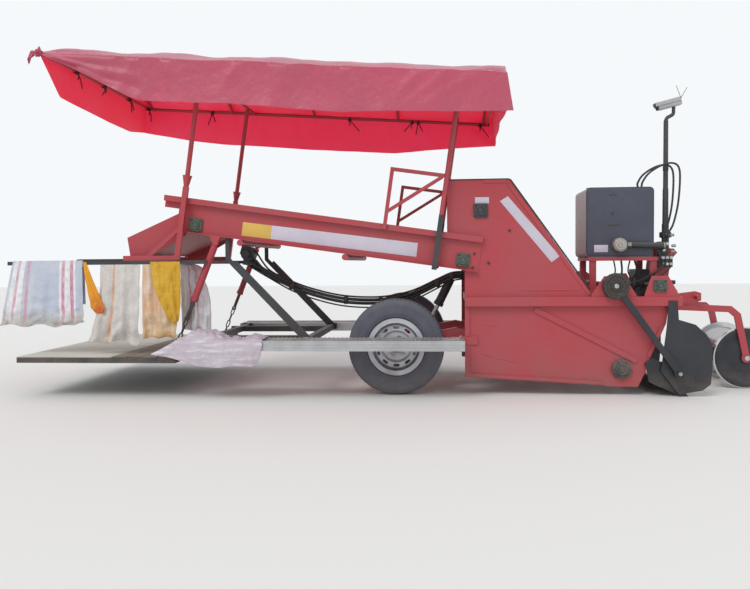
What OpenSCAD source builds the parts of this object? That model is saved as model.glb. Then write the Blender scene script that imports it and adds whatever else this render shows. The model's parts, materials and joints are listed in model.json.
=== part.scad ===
// Trailed potato harvester: lifting share, rod-chain elevator, picking belt, canopy and bagging platform
// Lengths in millimetres, +X towards the hitch, +Y the machine's left, +Z up, wheels and share tip on Z = 0
// Stations along X are measured from the wheel axle and moved by axle_x to the middle of the whole length

/* [Body and frame] */
// Outer face of the body's side sheets from the centre line
panel_y = 694; // [640:1:740]
// Thickness of the body's side sheets
sheet = 6; // [4:1:10]
// Width of the long side beams outside the sheets
beam_w = 50; // [40:1:70]
// Height of the long side beams
beam_h = 70; // [50:1:90]
// Underside of the long side beams
beam_z = 698; // [670:1:720]
// Rear edge of the lower body
body_rear = 541; // [520:1:570]
// Rear edge of the hood
hood_rear = 406; // [390:1:450]
// Height of the hood's top
hood_top = 1683; // [1640:1:1760]
// Lower rear corner of the body over the ground
body_foot = 140; // [130:1:150]
// Front end of the hood's flat top
hood_front = 888; // [850:1:930]
// Foot of the hood's slanted front
hood_foot = 1530; // [1510:1:1545]
// Front end of the long side beams
beam_front = 2190; // [2185:1:2230]
// Thickness of plain brackets and gussets
bracket = 12; // [8:1:14]

/* [Hitch and drive] */
// Height of the lower hitch pins
hitch_z = 749; // [735:1:760]
// Station of the lower hitch pins
hitch_x = 2400; // [2380:1:2440]
// Diameter of the lower hitch pins
hitch_pin_d = 28.4; // [22:0.1:36]
// Free length of the lower hitch pins
hitch_pin_l = 90; // [60:1:110]
// Inner faces of the hitch cheeks from the centre line
hitch_y = 330; // [300:1:360]
// Bore for the top link
top_link_d = 25.8; // [19:0.1:32]
// Height of the top link bore
top_link_z = 1110; // [1095:1:1130]
// Station of the drive shaft with the shaking eccentrics
crank_x = 1681; // [1670:1:1690]
// Height of the drive shaft and the cross shaft
crank_z = 852; // [845:1:870]
// Diameter of the drive shafts
shaft_d = 40; // [30:1:46]
// Distance of the cross shaft with its pillow bearings behind the beams' front ends
cross_back = 167; // [158:1:175]
// Outer radius of the shaker rod's big end
crank_r = 100; // [85:1:110]
// Diameter of the input shaft's stub
input_d = 35; // [30:0.1:45]
// Free length of the input shaft's stub
input_l = 110; // [80:1:130]

/* [Share] */
// Station of the share's tip
share_tip = 2250; // [2235:1:2270]
// Rear edge of the share blade
share_back = 1965; // [1950:1:1980]
// Height of the share blade's rear edge
share_rise = 150; // [135:1:165]
// Thickness of the share blade
blade = 12; // [8:1:16]
// Gap between the body and the share's side arms
arm_gap = 18; // [12:1:24]

/* [Rod chains] */
// Half width of the rod chains
chain_y = 640; // [600:1:650]
// Diameter of the chain's rods
rod_d = 12; // [10:1:16]
// Spacing of the rods along a chain
rod_pitch = 82; // [70:1:120]
// Radius of the elevator's chain at its rollers
lift_r = 84; // [76:1:90]
// Station of the elevator's lower roller
lift_low_x = 1743; // [1730:1:1750]
// Height of the elevator's lower roller
lift_low_z = 207; // [200:1:220]
// Station of the elevator's head roller
lift_head_x = 666; // [655:1:690]
// Height of the elevator's head roller
lift_head_z = 1444; // [1425:1:1460]
// Height of the elevator's flights over the chain
flight_h = 55; // [30:1:60]

/* [Picking deck] */
// Station of the deck's front lower corner
deck_x = 645; // [640:1:650]
// Height of the deck's front lower corner
deck_z = 965; // [955:1:975]
// Slope of the deck, rising to the rear
deck_tilt = 8.2; // [7.8:0.1:8.6]
// Depth of the deck's side channels
deck_h = 275; // [265:1:290]
// Length of the deck's upper flange
deck_l = 2560; // [2520:1:2590]
// Length of the deck's side web
deck_web_l = 2440; // [2430:1:2480]
// Width of the deck's flanges
flange_w = 50; // [40:1:54]
// Radius of the picking belt at its rollers
belt_r = 56; // [50:1:60]
// Height of the belt's rollers over the web's lower edge
belt_z = 75; // [72:1:80]
// First roller behind the deck's front corner
belt_front = 130; // [125:1:140]
// Last roller behind the deck's front corner
belt_rear = 2286; // [2270:1:2295]
// Front cross tube under the deck behind its front corner
under_bar = 1050; // [1000:10:1100]
// Cross tube with the belt's motor behind the deck's front corner
motor_back = 1900; // [1850:10:1950]
// Upper front corner of the chute, station
chute_x = -1690; // [-1700:1:-1680]
// Rear edge of the chute's foot
chute_rear = -2185; // [-2200:1:-2170]

/* [Canopy] */
// Station of the canopy's front edge
canopy_x = 843; // [820:1:870]
// Height of the canopy rails at the front
canopy_z = 2411; // [2350:1:2480]
// Slope of the canopy, rising to the rear
canopy_tilt = 3.93; // [3.5:0.01:4.4]
// Length of the canopy
canopy_l = 3530; // [3450:1:3600]
// Half width of the canopy inside its side flaps
canopy_y = 1100; // [1060:1:1140]
// Rise of the roof over the rails
canopy_crown = 220; // [200:1:260]
// Depth of the flaps under the rails
flap_h = 300; // [240:1:330]
// Length over which the right flap tapers to the rear corner
taper_side = 800; // [700:1:900]
// Width over which the rear flap tapers to the same corner
taper_rear = 350; // [300:1:450]
// Thickness allowed for the canopy cloth
cloth = 12; // [8:1:16]
// Diameter of the canopy rails and bows
rail_d = 30; // [24:1:36]
// Diameter of the canopy poles
pole_d = 38; // [32:1:44]
// Size of the square posts outside the deck
post_t = 40; // [34:1:46]
// Front poles behind the deck's front corner
pole_front = 343; // [335:1:350]
// Rear poles behind the deck's front corner
pole_rear = 2384; // [2375:1:2392]

/* [Wheels] */
// Outer radius of the tyres
tyre_r = 380; // [370:1:390]
// Width of the tyres
tyre_w = 190; // [180:1:200]
// Wheel centre from the machine's centre line
track_y = 660; // [650:1:664]
// Bead seat radius of the 16 inch rims
bead_r = 203; // [200:1:206]
// Outer radius of the rim flange
flange_r = 226; // [222:1:230]
// Diameter of the stub axles
stub_d = 60; // [50:1:64]
// Pivot of the wheel arms, station
arm_x = 478; // [470:1:482]
// Pivot of the wheel arms, height
arm_z = 470; // [462:1:480]
// Distance of the wheel arms from the centre line
arm_y = 420; // [400:1:430]
// Width of the wheel arms
arm_w = 60; // [50:1:70]
// Station of the lift cylinder's upper pin
lift_pin_x = 450; // [440:1:455]
// Height of the lift cylinder's upper pin
lift_pin_z = 930; // [920:1:940]
// Station of the lift cylinder's rod eye
lift_eye_x = 250; // [245:1:255]
// Height of the lift cylinder's rod eye
lift_eye_z = 525; // [520:1:530]

/* [Walkways and platform] */
// Top of the side planks
plank_z = 455; // [450:1:470]
// Height of the side planks
plank_h = 74; // [60:1:80]
// Width of the side planks
plank_w = 295; // [250:1:330]
// Front end of the side planks
plank_front = 533; // [525:1:538]
// Rear end of the side planks
plank_rear = -1640; // [-1645:1:-1630]
// Inner edge of the side planks from the centre line
plank_y = 775; // [775:1:785]
// Wall of the plank's profile
plank_t = 5; // [4:1:7]
// Station of the rear platform's hinge
tail_x = -1680; // [-1685:1:-1675]
// Height of the rear platform's hinge
tail_z = 290; // [285:1:295]
// Rear edge of the rear platform
tail_rear = -2980; // [-3000:1:-2900]
// Half width of the rear platform
tail_y = 1000; // [900:1:1040]
// Thickness of the platform's boards
board = 12; // [10:1:18]
// Upper pin of the platform cylinders, station
tail_pin_x = -1442; // [-1448:1:-1436]
// Upper pin of the platform cylinders, height
tail_pin_z = 1211; // [1206:1:1216]
// Chain eye of the platform cylinders, station
tail_eye_x = -1790; // [-1796:1:-1784]
// Chain eye of the platform cylinders, height
tail_eye_z = 350; // [348:1:354]
// Front crossbar of the walkway frame
walk_front = -745; // [-755:1:-735]
// Hanger of the walkway frame under the deck
hanger_x = -1350; // [-1360:1:-1340]
// Distance of the platform cylinders from the centre line
tail_cyl_y = 722; // [720:1:724]

/* [Bag rack] */
// Rear end of the bag rack
rack_rear = -3150; // [-3200:1:-3100]
// Front end of the bag rack
rack_front = -1500; // [-1520:1:-1480]
// Distance of the bag rails from the centre line
rack_y = 780; // [770:1:800]
// Top of the bag rails
rack_z = 1075; // [1072:1:1078]
// Size of the rack's square tubes
rack_t = 30; // [24:1:34]
// Width of the striped sack over the right rail
striped_w = 584; // [540:1:600]

/* [Tank and mast] */
// Gap between the oil tank and the hitch mast
tank_gap = 47; // [37:1:57]
// Length of the oil tank
tank_l = 543; // [500:1:560]
// Underside of the oil tank
tank_z = 1075; // [1060:1:1090]
// Height of the oil tank
tank_h = 570; // [520:1:600]
// Right face of the oil tank from the centre line
tank_right = 300; // [290:1:320]
// Depth of the oil tank across the machine
tank_d = 550; // [500:1:580]
// Camera mast ahead of the carrying beam
mast_ahead = 32; // [28:1:36]
// Top of the camera mast
mast_z = 2290; // [2200:1:2400]
// Diameter of the camera mast
mast_d = 50; // [40:1:56]

/* [Front roller] */
// Station of the front roller
roller_x = 2810; // [2790:1:2830]
// Outer radius of the front roller
roller_r = 250; // [245:1:255]
// Waist radius of the front roller
roller_waist = 95; // [80:1:120]
// Half length of the front roller
roller_l = 300; // [280:1:320]
// Diameter of the front roller's axle
roller_axle_d = 40; // [34:1:46]

/* [Hidden] */
$fn = 48;
red = "firebrick";
dark = "#2b2d31";
// Clearance of faces that seat on each other
seat = 0.3;
// Radial clearance of a shaft in its bore
fit = 0.05;
// Moves stations from the wheel axle to the middle of the whole length
axle_x = -(rack_rear + roller_x + roller_r) / 2;
// Side length of the frame's square cross tubes
tube = 60;
nose_tube = beam_front - tube;
cross_x = beam_front - cross_back;
tank_rear = nose_tube - tank_gap - tank_l;
panel_in = panel_y - sheet;
beam_top = beam_z + beam_h;
beam_y = panel_y + beam_w;

module place() { translate([axle_x, 0, 0]) children(); }
module both() { children(); mirror([0, 1, 0]) children(); }
module block(x0, x1, y0, y1, z0, z1) { translate([x0, y0, z0]) cube([x1 - x0, y1 - y0, z1 - z0]); }
// Outline drawn in X and Z, as thick as the way from y0 to y1
module slab(y0, y1) { translate([0, y1, 0]) rotate([90, 0, 0]) linear_extrude(y1 - y0) children(); }
// Round bar along Y
module across(x, z, y0, y1, d) { translate([x, y1, z]) rotate([90, 0, 0]) cylinder(h = y1 - y0, d = d); }
// Round bar between two points
module link(a, b, d) {
    v = b - a;
    translate(a) rotate([0, acos(v.z / norm(v)), atan2(v.y, v.x)]) cylinder(h = norm(v), d = d);
}
// Corners of a flat bar from a to b in the X-Z plane
function flat(a, b, h) =
    let (v = (b - a) / norm(b - a), n = [-v.y, v.x] * h / 2) [a + n, b + n, b - n, a - n];
// Outline round two equal rollers
module stadium(a, b, r) {
    translate(a) circle(r);
    translate(b) circle(r);
    polygon(flat(a, b, 2 * r));
}
module in_deck() { translate([deck_x, 0, deck_z]) rotate([0, deck_tilt, 0]) children(); }
module in_canopy() { translate([canopy_x, 0, canopy_z]) rotate([0, canopy_tilt, 0]) children(); }
// Length of a pole at deck station x, from the web's lower edge to the canopy rail
function reach(x) =
    (canopy_z - deck_z + (canopy_x - deck_x - x * cos(deck_tilt)) * tan(canopy_tilt) + x * sin(deck_tilt))
    / (cos(deck_tilt) + sin(deck_tilt) * tan(canopy_tilt));
// Canopy station over the deck's station x
function over(x) =
    (deck_x + x * cos(deck_tilt) + reach(x) * sin(deck_tilt) - canopy_x) / cos(canopy_tilt);
// Height of the deck's lower edge at a station
function deck_under(x) = deck_z + (deck_x - x) * tan(deck_tilt);

// Point at distance s along the closed chain round rollers a and b
function chain_point(a, b, r, s) =
    let (l = norm(b - a), u = (b - a) / l, n = [-u.y, u.x], turn = PI * r, w = s % (2 * l + 2 * turn))
    w < l ? a + n * r + u * w :
    w < l + turn ? let (t = (w - l) / r * 180 / PI) b + r * (n * cos(t) + u * sin(t)) :
    w < 2 * l + turn ? b - n * r - u * (w - l - turn) :
    let (t = (w - 2 * l - turn) / r * 180 / PI) a - r * (n * cos(t) + u * sin(t));
// Rod chain: two edge belts joined by round rods
module rod_chain(a, b, r, half_w, flights) {
    belt_t = rod_d / 2;
    belt_w = 40;
    total = 2 * norm(b - a) + 2 * PI * r;
    count = floor(total / rod_pitch);
    both() slab(half_w - belt_w, half_w) difference() {
        stadium(a, b, r + belt_t);
        stadium(a, b, r - belt_t);
    }
    for (i = [0 : count - 1]) {
        p = chain_point(a, b, r, i * total / count);
        translate([p.x, half_w, p.y]) rotate([90, 0, 0]) cylinder(h = 2 * half_w, d = rod_d, $fn = 8);
    }
    if (flights > 0) for (i = [0 : flights - 1]) {
        s = (i + 0.5) * total / flights;
        p = chain_point(a, b, r, s);
        m = chain_point(a, b, r, s + 1);
        t = (m - p) / norm(m - p);
        out = [-t.y, t.x];
        slab(-half_w + 30, half_w - 30) polygon(flat(p, p + out * flight_h, 8));
    }
}

// Clevis pin with its two lugs: h is the lugs' half height, gap the half width between them
module lugs(pin, root, y, gap, plate, h, pin_d) {
    for (side = [-1, 1]) {
        middle = y + side * (gap + plate / 2);
        slab(middle - plate / 2, middle + plate / 2) {
            translate(pin) circle(h);
            polygon(flat(root, pin, 2 * h));
        }
    }
    across(pin.x, pin.y, y - gap - plate, y + gap + plate, pin_d);
}
// Moves children so that +Z runs from point a to point b in the X-Z plane
module along(a, b, y) { translate([a.x, y, a.y]) rotate([0, atan2(b.x - a.x, b.y - a.y), 0]) children(); }
// Barrel of a hydraulic cylinder, its eye at the start
module barrel(l, od, rod, eye_w, pin_d) {
    wall = od / 8;
    gland = 30;
    difference() {
        union() {
            rotate([90, 0, 0]) cylinder(h = eye_w, r = pin_d, center = true);
            translate([0, 0, pin_d * 0.6]) cylinder(h = pin_d * 0.6, d = eye_w - 4);
            translate([0, 0, pin_d * 1.15]) cylinder(h = l - pin_d * 1.15, d = od);
            translate([0, 0, l - gland]) cylinder(h = gland, d = od + wall);
        }
        rotate([90, 0, 0]) cylinder(h = od * 2, d = pin_d + 2 * fit, center = true);
        translate([0, 0, pin_d * 2]) cylinder(h = l - pin_d * 2 - gland, d = od - 2 * wall);
        translate([0, 0, l - gland - 1]) cylinder(h = gland + 2, d = rod + 2 * fit);
    }
}
// Ring eye at distance z along a rod, with radial play on its pin
module eye(z, w, pin_d, play, wall) {
    translate([0, 0, z]) rotate([90, 0, 0]) difference() {
        cylinder(h = w, r = pin_d / 2 + play + wall, center = true);
        cylinder(h = 2 * w, r = pin_d / 2 + play, center = true);
    }
}
// Rounded rectangle from its lower left corner
module rounded(w, h, r) {
    translate([r, 0]) square([w - 2 * r, h]);
    translate([0, r]) square([w, h - 2 * r]);
    for (x = [r, w - r], y = [r, h - r]) translate([x, y]) circle(r);
}
module rect(a, b) { translate(a) square(b - a); }
// Point of a smooth line through chosen points, t from 0 to the number of spans
function smooth(p, t) =
    let (n = len(p), i = min(floor(t), n - 2), f = t - i,
        a = p[max(i - 1, 0)], b = p[i], c = p[i + 1], d = p[min(i + 2, n - 1)])
    0.5 * (2 * b + (c - a) * f + (2 * a - 5 * b + 4 * c - d) * f * f + (3 * b - a - 3 * c + d) * f * f * f);
// Hose swept along a route in space
module hose(route, d, steps, sides = 8) {
    spans = len(route) - 1;
    line = [for (i = [0 : spans * steps]) smooth(route, i / steps)];
    last = len(line) - 1;
    rings = [for (i = [0 : last])
        let (t = line[min(i + 1, last)] - line[max(i - 1, 0)], u = t / norm(t),
            a = cross([0, 1, 0], u) / norm(cross([0, 1, 0], u)), b = cross(u, a))
        for (k = [0 : sides - 1]) line[i] + (a * cos(k * 360 / sides) + b * sin(k * 360 / sides)) * d / 2];
    faces = concat(
        [[for (k = [0 : sides - 1]) k]],
        [[for (k = [sides - 1 : -1 : 0]) last * sides + k]],
        [for (i = [0 : last - 1], k = [0 : sides - 1])
            let (next = (k + 1) % sides)
                [i * sides + k, (i + 1) * sides + k, (i + 1) * sides + next, i * sides + next]]);
    polyhedron(rings, faces);
}

// Places of pins shared by frame and cylinders, as [X, Z]
arm_pin = [arm_x, arm_z];
lift_pin = [lift_pin_x, lift_pin_z];
lift_eye = [lift_eye_x, lift_eye_z];
tail_pin = [tail_pin_x, tail_pin_z];
tail_eye = [tail_eye_x, tail_eye_z];
lift_low = [lift_low_x, lift_low_z];
lift_head = [lift_head_x, lift_head_z];
arm_pin_d = 30;
lift_pin_d = 28;
tail_pin_d = 20;
eye_pin_d = 16;
rod_pin = [share_tip - 97, share_rise + 36];
rod_pin_d = 30;
share_pivot = [share_back - 20, share_rise + 95];
share_arm_y = panel_y + arm_gap;
// Rear faces of the cross tubes
rear_tube = body_rear + 14;
tank_tube = tank_rear + 35;
front_tube = cross_x + 37;
rod_y = beam_y + 38;
rod_t = 30;
hub_d = 90;
gusset_y = panel_y + 26;
post_y = beam_y + post_t / 2;
rail_y = canopy_y - rail_d / 2 - seat;
// Rails lie under the curve of the cloth
rail_drop = 10;
bar_d = rail_d - 4;
// Hinge line of the side planks
hinge_y = plank_y - 11;
hinge_z = plank_z - 3;
hinge_d = 16;
hinge_l = 30;
// Half height of the platform's hinge lugs
tail_lug = 14;

// Gusset on the side beams that carries a shaft
module gusset(x, foot_rear, foot_front, top_half) {
    crest = crank_z + 75;
    slab(gusset_y, gusset_y + bracket) difference() {
        polygon([[foot_rear, beam_top + seat], [foot_front, beam_top + seat], [x + top_half, crest],
            [x - top_half, crest]]);
        translate([x, crank_z]) circle(d = shaft_d + 2 * fit);
    }
}
// Two knuckles with their pin, either side of the plank's own knuckle at station x
module hinge_pair(x) {
    for (side = [-1, 1]) translate([x + side * (hinge_l + 2) - hinge_l / 2, hinge_y, hinge_z])
        rotate([0, 90, 0]) cylinder(h = hinge_l, d = hinge_d);
    translate([x - 1.5 * hinge_l - 2, hinge_y, hinge_z]) rotate([0, 90, 0])
        cylinder(h = 3 * hinge_l + 4, d = hinge_d / 2);
    for (side = [-1, 1])
        translate([x + side * (hinge_l + 2) - hinge_l / 2, hinge_y - 14, hinge_z - hinge_d / 2])
            cube([hinge_l, 14, hinge_d / 2]);
}
plank_hinges = [body_rear - 58, walk_front + 25, plank_rear + 80];

module main_frame() color(red) {
    both() {
        block(body_rear, beam_front, panel_y, beam_y, beam_z, beam_top);
        gusset(crank_x, crank_x - 180, crank_x + 175, 75);
        gusset(cross_x, cross_x - 118, cross_x + 150, 62);
        lugs(arm_pin, [rear_tube - seat, arm_z], arm_y, arm_w / 2 + 5, bracket, 28, arm_pin_d);
        // Carrier of the side plank's front hinge
        carrier = plank_hinges[0] - 47;
        block(carrier, body_rear + 100, panel_y, panel_y + bracket, plank_z - 60, plank_z + 5);
        block(carrier, carrier + 94, panel_y + bracket, hinge_y - 14, hinge_z - 20, hinge_z);
        hinge_pair(plank_hinges[0]);
        // Cheek and pin of the lower hitch
        slab(hitch_y, hitch_y + 20) polygon([[beam_front + seat, beam_z], [hitch_x, hitch_z - 45],
            [hitch_x + 45, hitch_z - 30], [hitch_x + 45, hitch_z + 30], [hitch_x, hitch_z + 45],
            [beam_front + seat, beam_top]]);
        across(hitch_x, hitch_z, hitch_y + 20, hitch_y + 20 + hitch_pin_l, hitch_pin_d);
    }
    for (x = [rear_tube, tank_tube, front_tube])
        block(x, x + tube, -panel_in, panel_in, beam_top - tube, beam_top);
    for (z = [arm_z, lift_pin_z])
        block(rear_tube, rear_tube + tube, -panel_in, panel_in, z - tube / 2, z + tube / 2);
    block(nose_tube, beam_front, -panel_y + seat, panel_y - seat, beam_z, beam_top);
    lugs(lift_pin, [rear_tube - seat, lift_pin_z], 0, 20, bracket, 28, lift_pin_d);
}
// Side sheet with its pressed frame
module side_panel() color(red) {
    trim = 14;
    foot = body_foot;
    keel = lift_low_z - 138;
    keel_rear = lift_low_x - 22;
    nose = beam_front - 90;
    slab(panel_in, panel_y) polygon([
        [hood_rear, hood_top], [hood_rear, deck_under(hood_rear) + 8], [body_rear, deck_under(body_rear) + 8],
        [body_rear, foot], [keel_rear, keel], [keel_rear + 150, keel], lift_low + [187, -15],
        lift_low + [209, 62], [nose - 20, beam_z - 138], [nose, beam_z], [nose, beam_top],
        [hood_foot, beam_top], [hood_front, hood_top]]);
    slab(panel_y, panel_y + trim) {
        polygon([[body_rear, foot + 6], [keel_rear - 121, keel + 16], [keel_rear - 121, keel + 42],
            [body_rear, foot + 32]]);
        rect([body_rear, foot + 10], [body_rear + 36, plank_z - 62]);
        rect([body_rear, plank_z + 7], [body_rear + 36, beam_z]);
        polygon(flat([body_rear + 539, beam_z - 26], lift_low + [117, 63], 40));
        polygon(flat(lift_low + [203, 98], [nose - 50, beam_z - 157], 26));
    }
    // Rolled edge of the hood's slanted front
    slab(panel_y, panel_y + trim / 2) {
        polygon(flat([hood_front - 6, hood_top - 34], [hood_foot - 26, beam_top + 12], 24));
        rect([deck_x + 45, hood_top - 26], [hood_front - 20, hood_top]);
    }
}
module hood_cover() color(red) slab(-panel_in, panel_in) {
    polygon(flat([hood_front + 4, hood_top - 8], [hood_foot - 4, beam_top + 8], 5));
    rect([hood_rear, hood_top - 6], [hood_front, hood_top - 1]);
}
module elevator_chain() color("dimgray") rod_chain(lift_low, lift_head, lift_r, chain_y, 10);
// Shaft with four discs that carry a chain
module roller_set(p, r, end_y) {
    across(p.x, p.y, -end_y, end_y, shaft_d);
    for (y = [-chain_y, -chain_y / 3 - 20, chain_y / 3 - 20, chain_y - 40])
        across(p.x, p.y, y, y + 40, 2 * (r - rod_d / 2 - seat));
}
module elevator_rollers() color("gray") for (p = [lift_low, lift_head]) roller_set(p, lift_r, panel_in);
module hub_bearings() color(dark) both() {
    translate([lift_head_x, panel_y, lift_head_z]) {
        translate([-55, 0, -55]) cube([110, 16, 110]);
        rotate([-90, 0, 0]) cylinder(h = 34, d = 74);
    }
    across(lift_low_x, lift_low_z, panel_y, panel_y + 30, 150);
    across(lift_low_x, lift_low_z, panel_y + 30, panel_y + 46, 90);
}
// Square bearing with a round cap, its back on the X-Z plane
module pillow(size) {
    translate([-size / 2, 0, -size / 2]) cube([size, 16, size]);
    rotate([-90, 0, 0]) cylinder(h = 30, d = size * 0.62);
}
module pillow_bearings() color("darkslategray") both() {
    in_deck() for (x = [-belt_front, -belt_rear]) translate([x, panel_y + sheet, belt_z]) pillow(106);
    translate([cross_x, gusset_y + bracket, crank_z]) pillow(96);
}
module drive_shafts() color("gray") {
    across(crank_x, crank_z, -rod_y - rod_t, rod_y + rod_t, shaft_d);
    both() across(crank_x, crank_z, rod_y, rod_y + rod_t, hub_d);
    both() across(cross_x, crank_z, 120, gusset_y + bracket, shaft_d);
}
module shaker_rods() color(dark) both() slab(rod_y, rod_y + rod_t) difference() {
    union() {
        translate([crank_x, crank_z]) circle(crank_r);
        polygon(flat([crank_x, crank_z], rod_pin, 46));
        translate(rod_pin) circle(38);
    }
    translate([crank_x, crank_z]) circle(d = hub_d + 2 * fit);
    translate(rod_pin) circle(d = rod_pin_d + 2 * fit);
}
gearbox_front = front_tube + 140;
module gearbox() color(dark) {
    block(cross_x - 45, gearbox_front, -120, 120, beam_top, crank_z + 120);
    translate([gearbox_front, 0, crank_z + 7]) rotate([0, 90, 0]) {
        cylinder(h = 24, d = 150);
        cylinder(h = 24 + input_l, d = input_d);
    }
}
module share() color("#55504a") {
    slab(-share_arm_y, share_arm_y) polygon([[share_tip, 0], [share_back, share_rise],
        [share_back - 6, share_rise - blade], [share_tip - 26, 0]]);
    both() {
        slab(share_arm_y, share_arm_y + bracket) polygon([[share_tip - 10, 0], [share_tip - 50, 60],
            rod_pin + [42, 40], share_pivot + [25, 41], share_pivot + [-25, 17],
            [share_back - 20, share_rise - 40], [share_tip - 60, 0]]);
        across(share_pivot.x, share_pivot.y, panel_y, share_arm_y, 50);
        across(rod_pin.x, rod_pin.y, share_arm_y + bracket, rod_y + rod_t + 14, rod_pin_d);
        across(rod_pin.x, rod_pin.y, rod_y + rod_t, rod_y + rod_t + 14, rod_pin_d * 1.6);
    }
    // Fingers that hand the ridge over to the chain
    finger_pitch = 105;
    for (i = [-6 : 6]) link([share_back, i * finger_pitch, share_rise - blade / 2 - 1],
        [share_back - 65, i * finger_pitch, share_rise + 22], 16);
}
module share_shields() color(dark) both() slab(beam_y, beam_y + sheet) difference() {
    hung = beam_z + 40 - rod_pin.y;
    translate(rod_pin) polygon([[-124, 10], [-82, hung - 198], [-68, hung], [-3, hung], [7, hung - 146],
        [132, hung - 184], [213, hung - 260], [257, 216], [259, 44], [247, -88], [187, -136], [10, -166]]);
    translate(rod_pin) circle(34);
}
module hitch_mast() color(red) {
    foot = nose_tube + 5;
    top = top_link_z + 35;
    both() slab(150, 166) polygon([[foot, beam_top], [beam_front, beam_top], [beam_front + 45, crank_z + 60],
        [beam_front + 70, top_link_z], [beam_front + 60, top], [foot + 20, top + 40],
        [foot - 5, crank_z + 130]]);
    block(beam_front + 5, beam_front + 55, -150, 150, top - 60, top);
    both() slab(28, 42) difference() {
        polygon([[beam_front + 55, top - 60], [beam_front + 120, top_link_z - 35],
            [beam_front + 150, top_link_z], [beam_front + 120, top_link_z + 35], [beam_front + 55, top]]);
        translate([beam_front + 115, top_link_z]) circle(d = top_link_d);
    }
}
module tank() color("#474b59") {
    slab(-tank_right, tank_d - tank_right) translate([tank_rear, tank_z]) rounded(tank_l, tank_h, 34);
    translate([tank_rear + 120, tank_d - tank_right - 120, tank_z + tank_h]) cylinder(h = 34, d = 90);
}
module tank_stand() color(red) {
    leg = 50;
    tray = 30;
    y_left = tank_d - tank_right;
    block(tank_tube - 15, front_tube + leg + 10, -tank_right, y_left, tank_z - tray, tank_z);
    for (x = [tank_tube, front_tube], y = [-tank_right + 10, y_left - leg - 10])
        block(x, x + leg, y, y + leg, beam_top, tank_z - tray);
}
cap_x = tank_rear + 265;
cap_z = tank_z + 98;
module filter_cap() color("silver") {
    across(cap_x, cap_z, -tank_right - 62, -tank_right, 118);
    across(cap_x, cap_z, -tank_right - 74, -tank_right - 62, 84);
}
module suction_line() color(dark) {
    a = [cap_x + 59, -tank_right - 32, cap_z];
    b = [nose_tube + 20, -tank_right - 32, cap_z - 8];
    c = [nose_tube + 40, -230, cap_z - 20];
    link(a, b, 50);
    translate(b) sphere(d = 50);
    link(b, c, 50);
    block(nose_tube + 5, nose_tube + 85, -240, -166, top_link_z - 20, top_link_z + 90);
}
mast_x = beam_front + mast_ahead;
mast_y = -110;
module camera_mast() color(dark) {
    base = top_link_z + 35;
    translate([mast_x, mast_y, base]) {
        cylinder(h = mast_z - base, d = mast_d);
        translate([0, 0, 90]) cylinder(h = 46, d = mast_d + 46);
    }
}
module camera() color("gainsboro") translate([mast_x, mast_y, mast_z]) {
    cylinder(h = 40, d = 34);
    translate([-96, -42, 40]) cube([240, 84, 70]);
    translate([-112, -48, 110]) cube([270, 96, 6]);
}

// Side channel of the picking deck with the lugs of its platform cylinder
module deck_side() color(red) {
    rail = 45;
    web_y = panel_y + sheet;
    in_deck() {
        slab(panel_y, web_y) polygon([[0, 0], [-deck_web_l, 0], [-deck_web_l, deck_h - 95],
            [-deck_l, deck_h - 95], [-deck_l, deck_h - rail], [0, deck_h - rail]]);
        block(-deck_l, 0, panel_y, panel_y + flange_w, deck_h - rail, deck_h);
        block(-deck_web_l, 0, web_y, panel_y + flange_w, 0, sheet);
    }
    for (side = [-1, 1]) {
        middle = tail_cyl_y + side * 19;
        slab(middle - 3, middle + 3) {
            translate(tail_pin) circle(22);
            polygon([tail_pin - [22, 0], tail_pin + [22, 0], [tail_pin.x + 45, deck_under(tail_pin.x + 45)],
                [tail_pin.x - 45, deck_under(tail_pin.x - 45)]]);
        }
    }
    across(tail_pin.x, tail_pin.y, tail_cyl_y - 22, tail_cyl_y + 22, tail_pin_d);
}
module deck_crossbars() color(red) in_deck() {
    inner_bars = 3;
    pitch = (belt_rear - belt_front) / (inner_bars + 1);
    under_d = 50;
    for (i = [1 : inner_bars]) across(-belt_front - i * pitch, belt_z, -panel_y, panel_y, 40);
    for (x = [under_bar, motor_back])
        across(-x, -under_d / 2, -panel_y - flange_w, panel_y + flange_w, under_d);
}
module picking_belt() color("dimgray") in_deck()
    rod_chain([-belt_rear, belt_z], [-belt_front, belt_z], belt_r, chain_y, 0);
module belt_rollers() color("gray") in_deck() {
    roller_set([-belt_rear, belt_z], belt_r, panel_y);
    roller_set([-belt_front, belt_z], belt_r, panel_in);
}
module belt_motor() color(dark) in_deck() translate([-motor_back, 0, -110]) {
    face = -470;
    slab(face - bracket / 2, face + bracket / 2) polygon([[-60, -10], [60, -10], [50, 60], [-50, 60]]);
    across(0, 0, face + bracket / 2, face + 140, 110);
    across(0, 0, face - 50, face - bracket / 2, 60);
    block(-30, 30, face + 20, face + 90, -95, -40);
}
foot_t = 40;
foot_z = rack_z + foot_t;
module chute() color(red) {
    top = [chute_x, foot_z + 185];
    lip = [chute_rear + 20, foot_z + 7];
    both() slab(panel_in, panel_y) polygon([top + [0, 180], [chute_rear + 2, foot_z + 147],
        [chute_rear + 24, foot_z + seat], [chute_rear + foot_t + 5, foot_z + seat],
        [chute_rear + 175, foot_z - 15], top - [0, 20]]);
    slab(-panel_in, panel_in) polygon(flat(top, lip, 5));
}
module chute_frame() color(red) {
    both() {
        in_deck() block(-pole_rear - post_t / 2, -pole_rear + post_t / 2, beam_y, beam_y + post_t, -228, 359);
        block(chute_rear, chute_x - 55, beam_y, beam_y + post_t, rack_z, foot_z);
        slab(beam_y + 10, beam_y + 22)
            polygon(flat([chute_rear + 195, foot_z - 10], [chute_x - 38, foot_z + 215], 34));
    }
    block(chute_rear, chute_rear + foot_t, -beam_y, beam_y, rack_z, foot_z);
}
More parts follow.
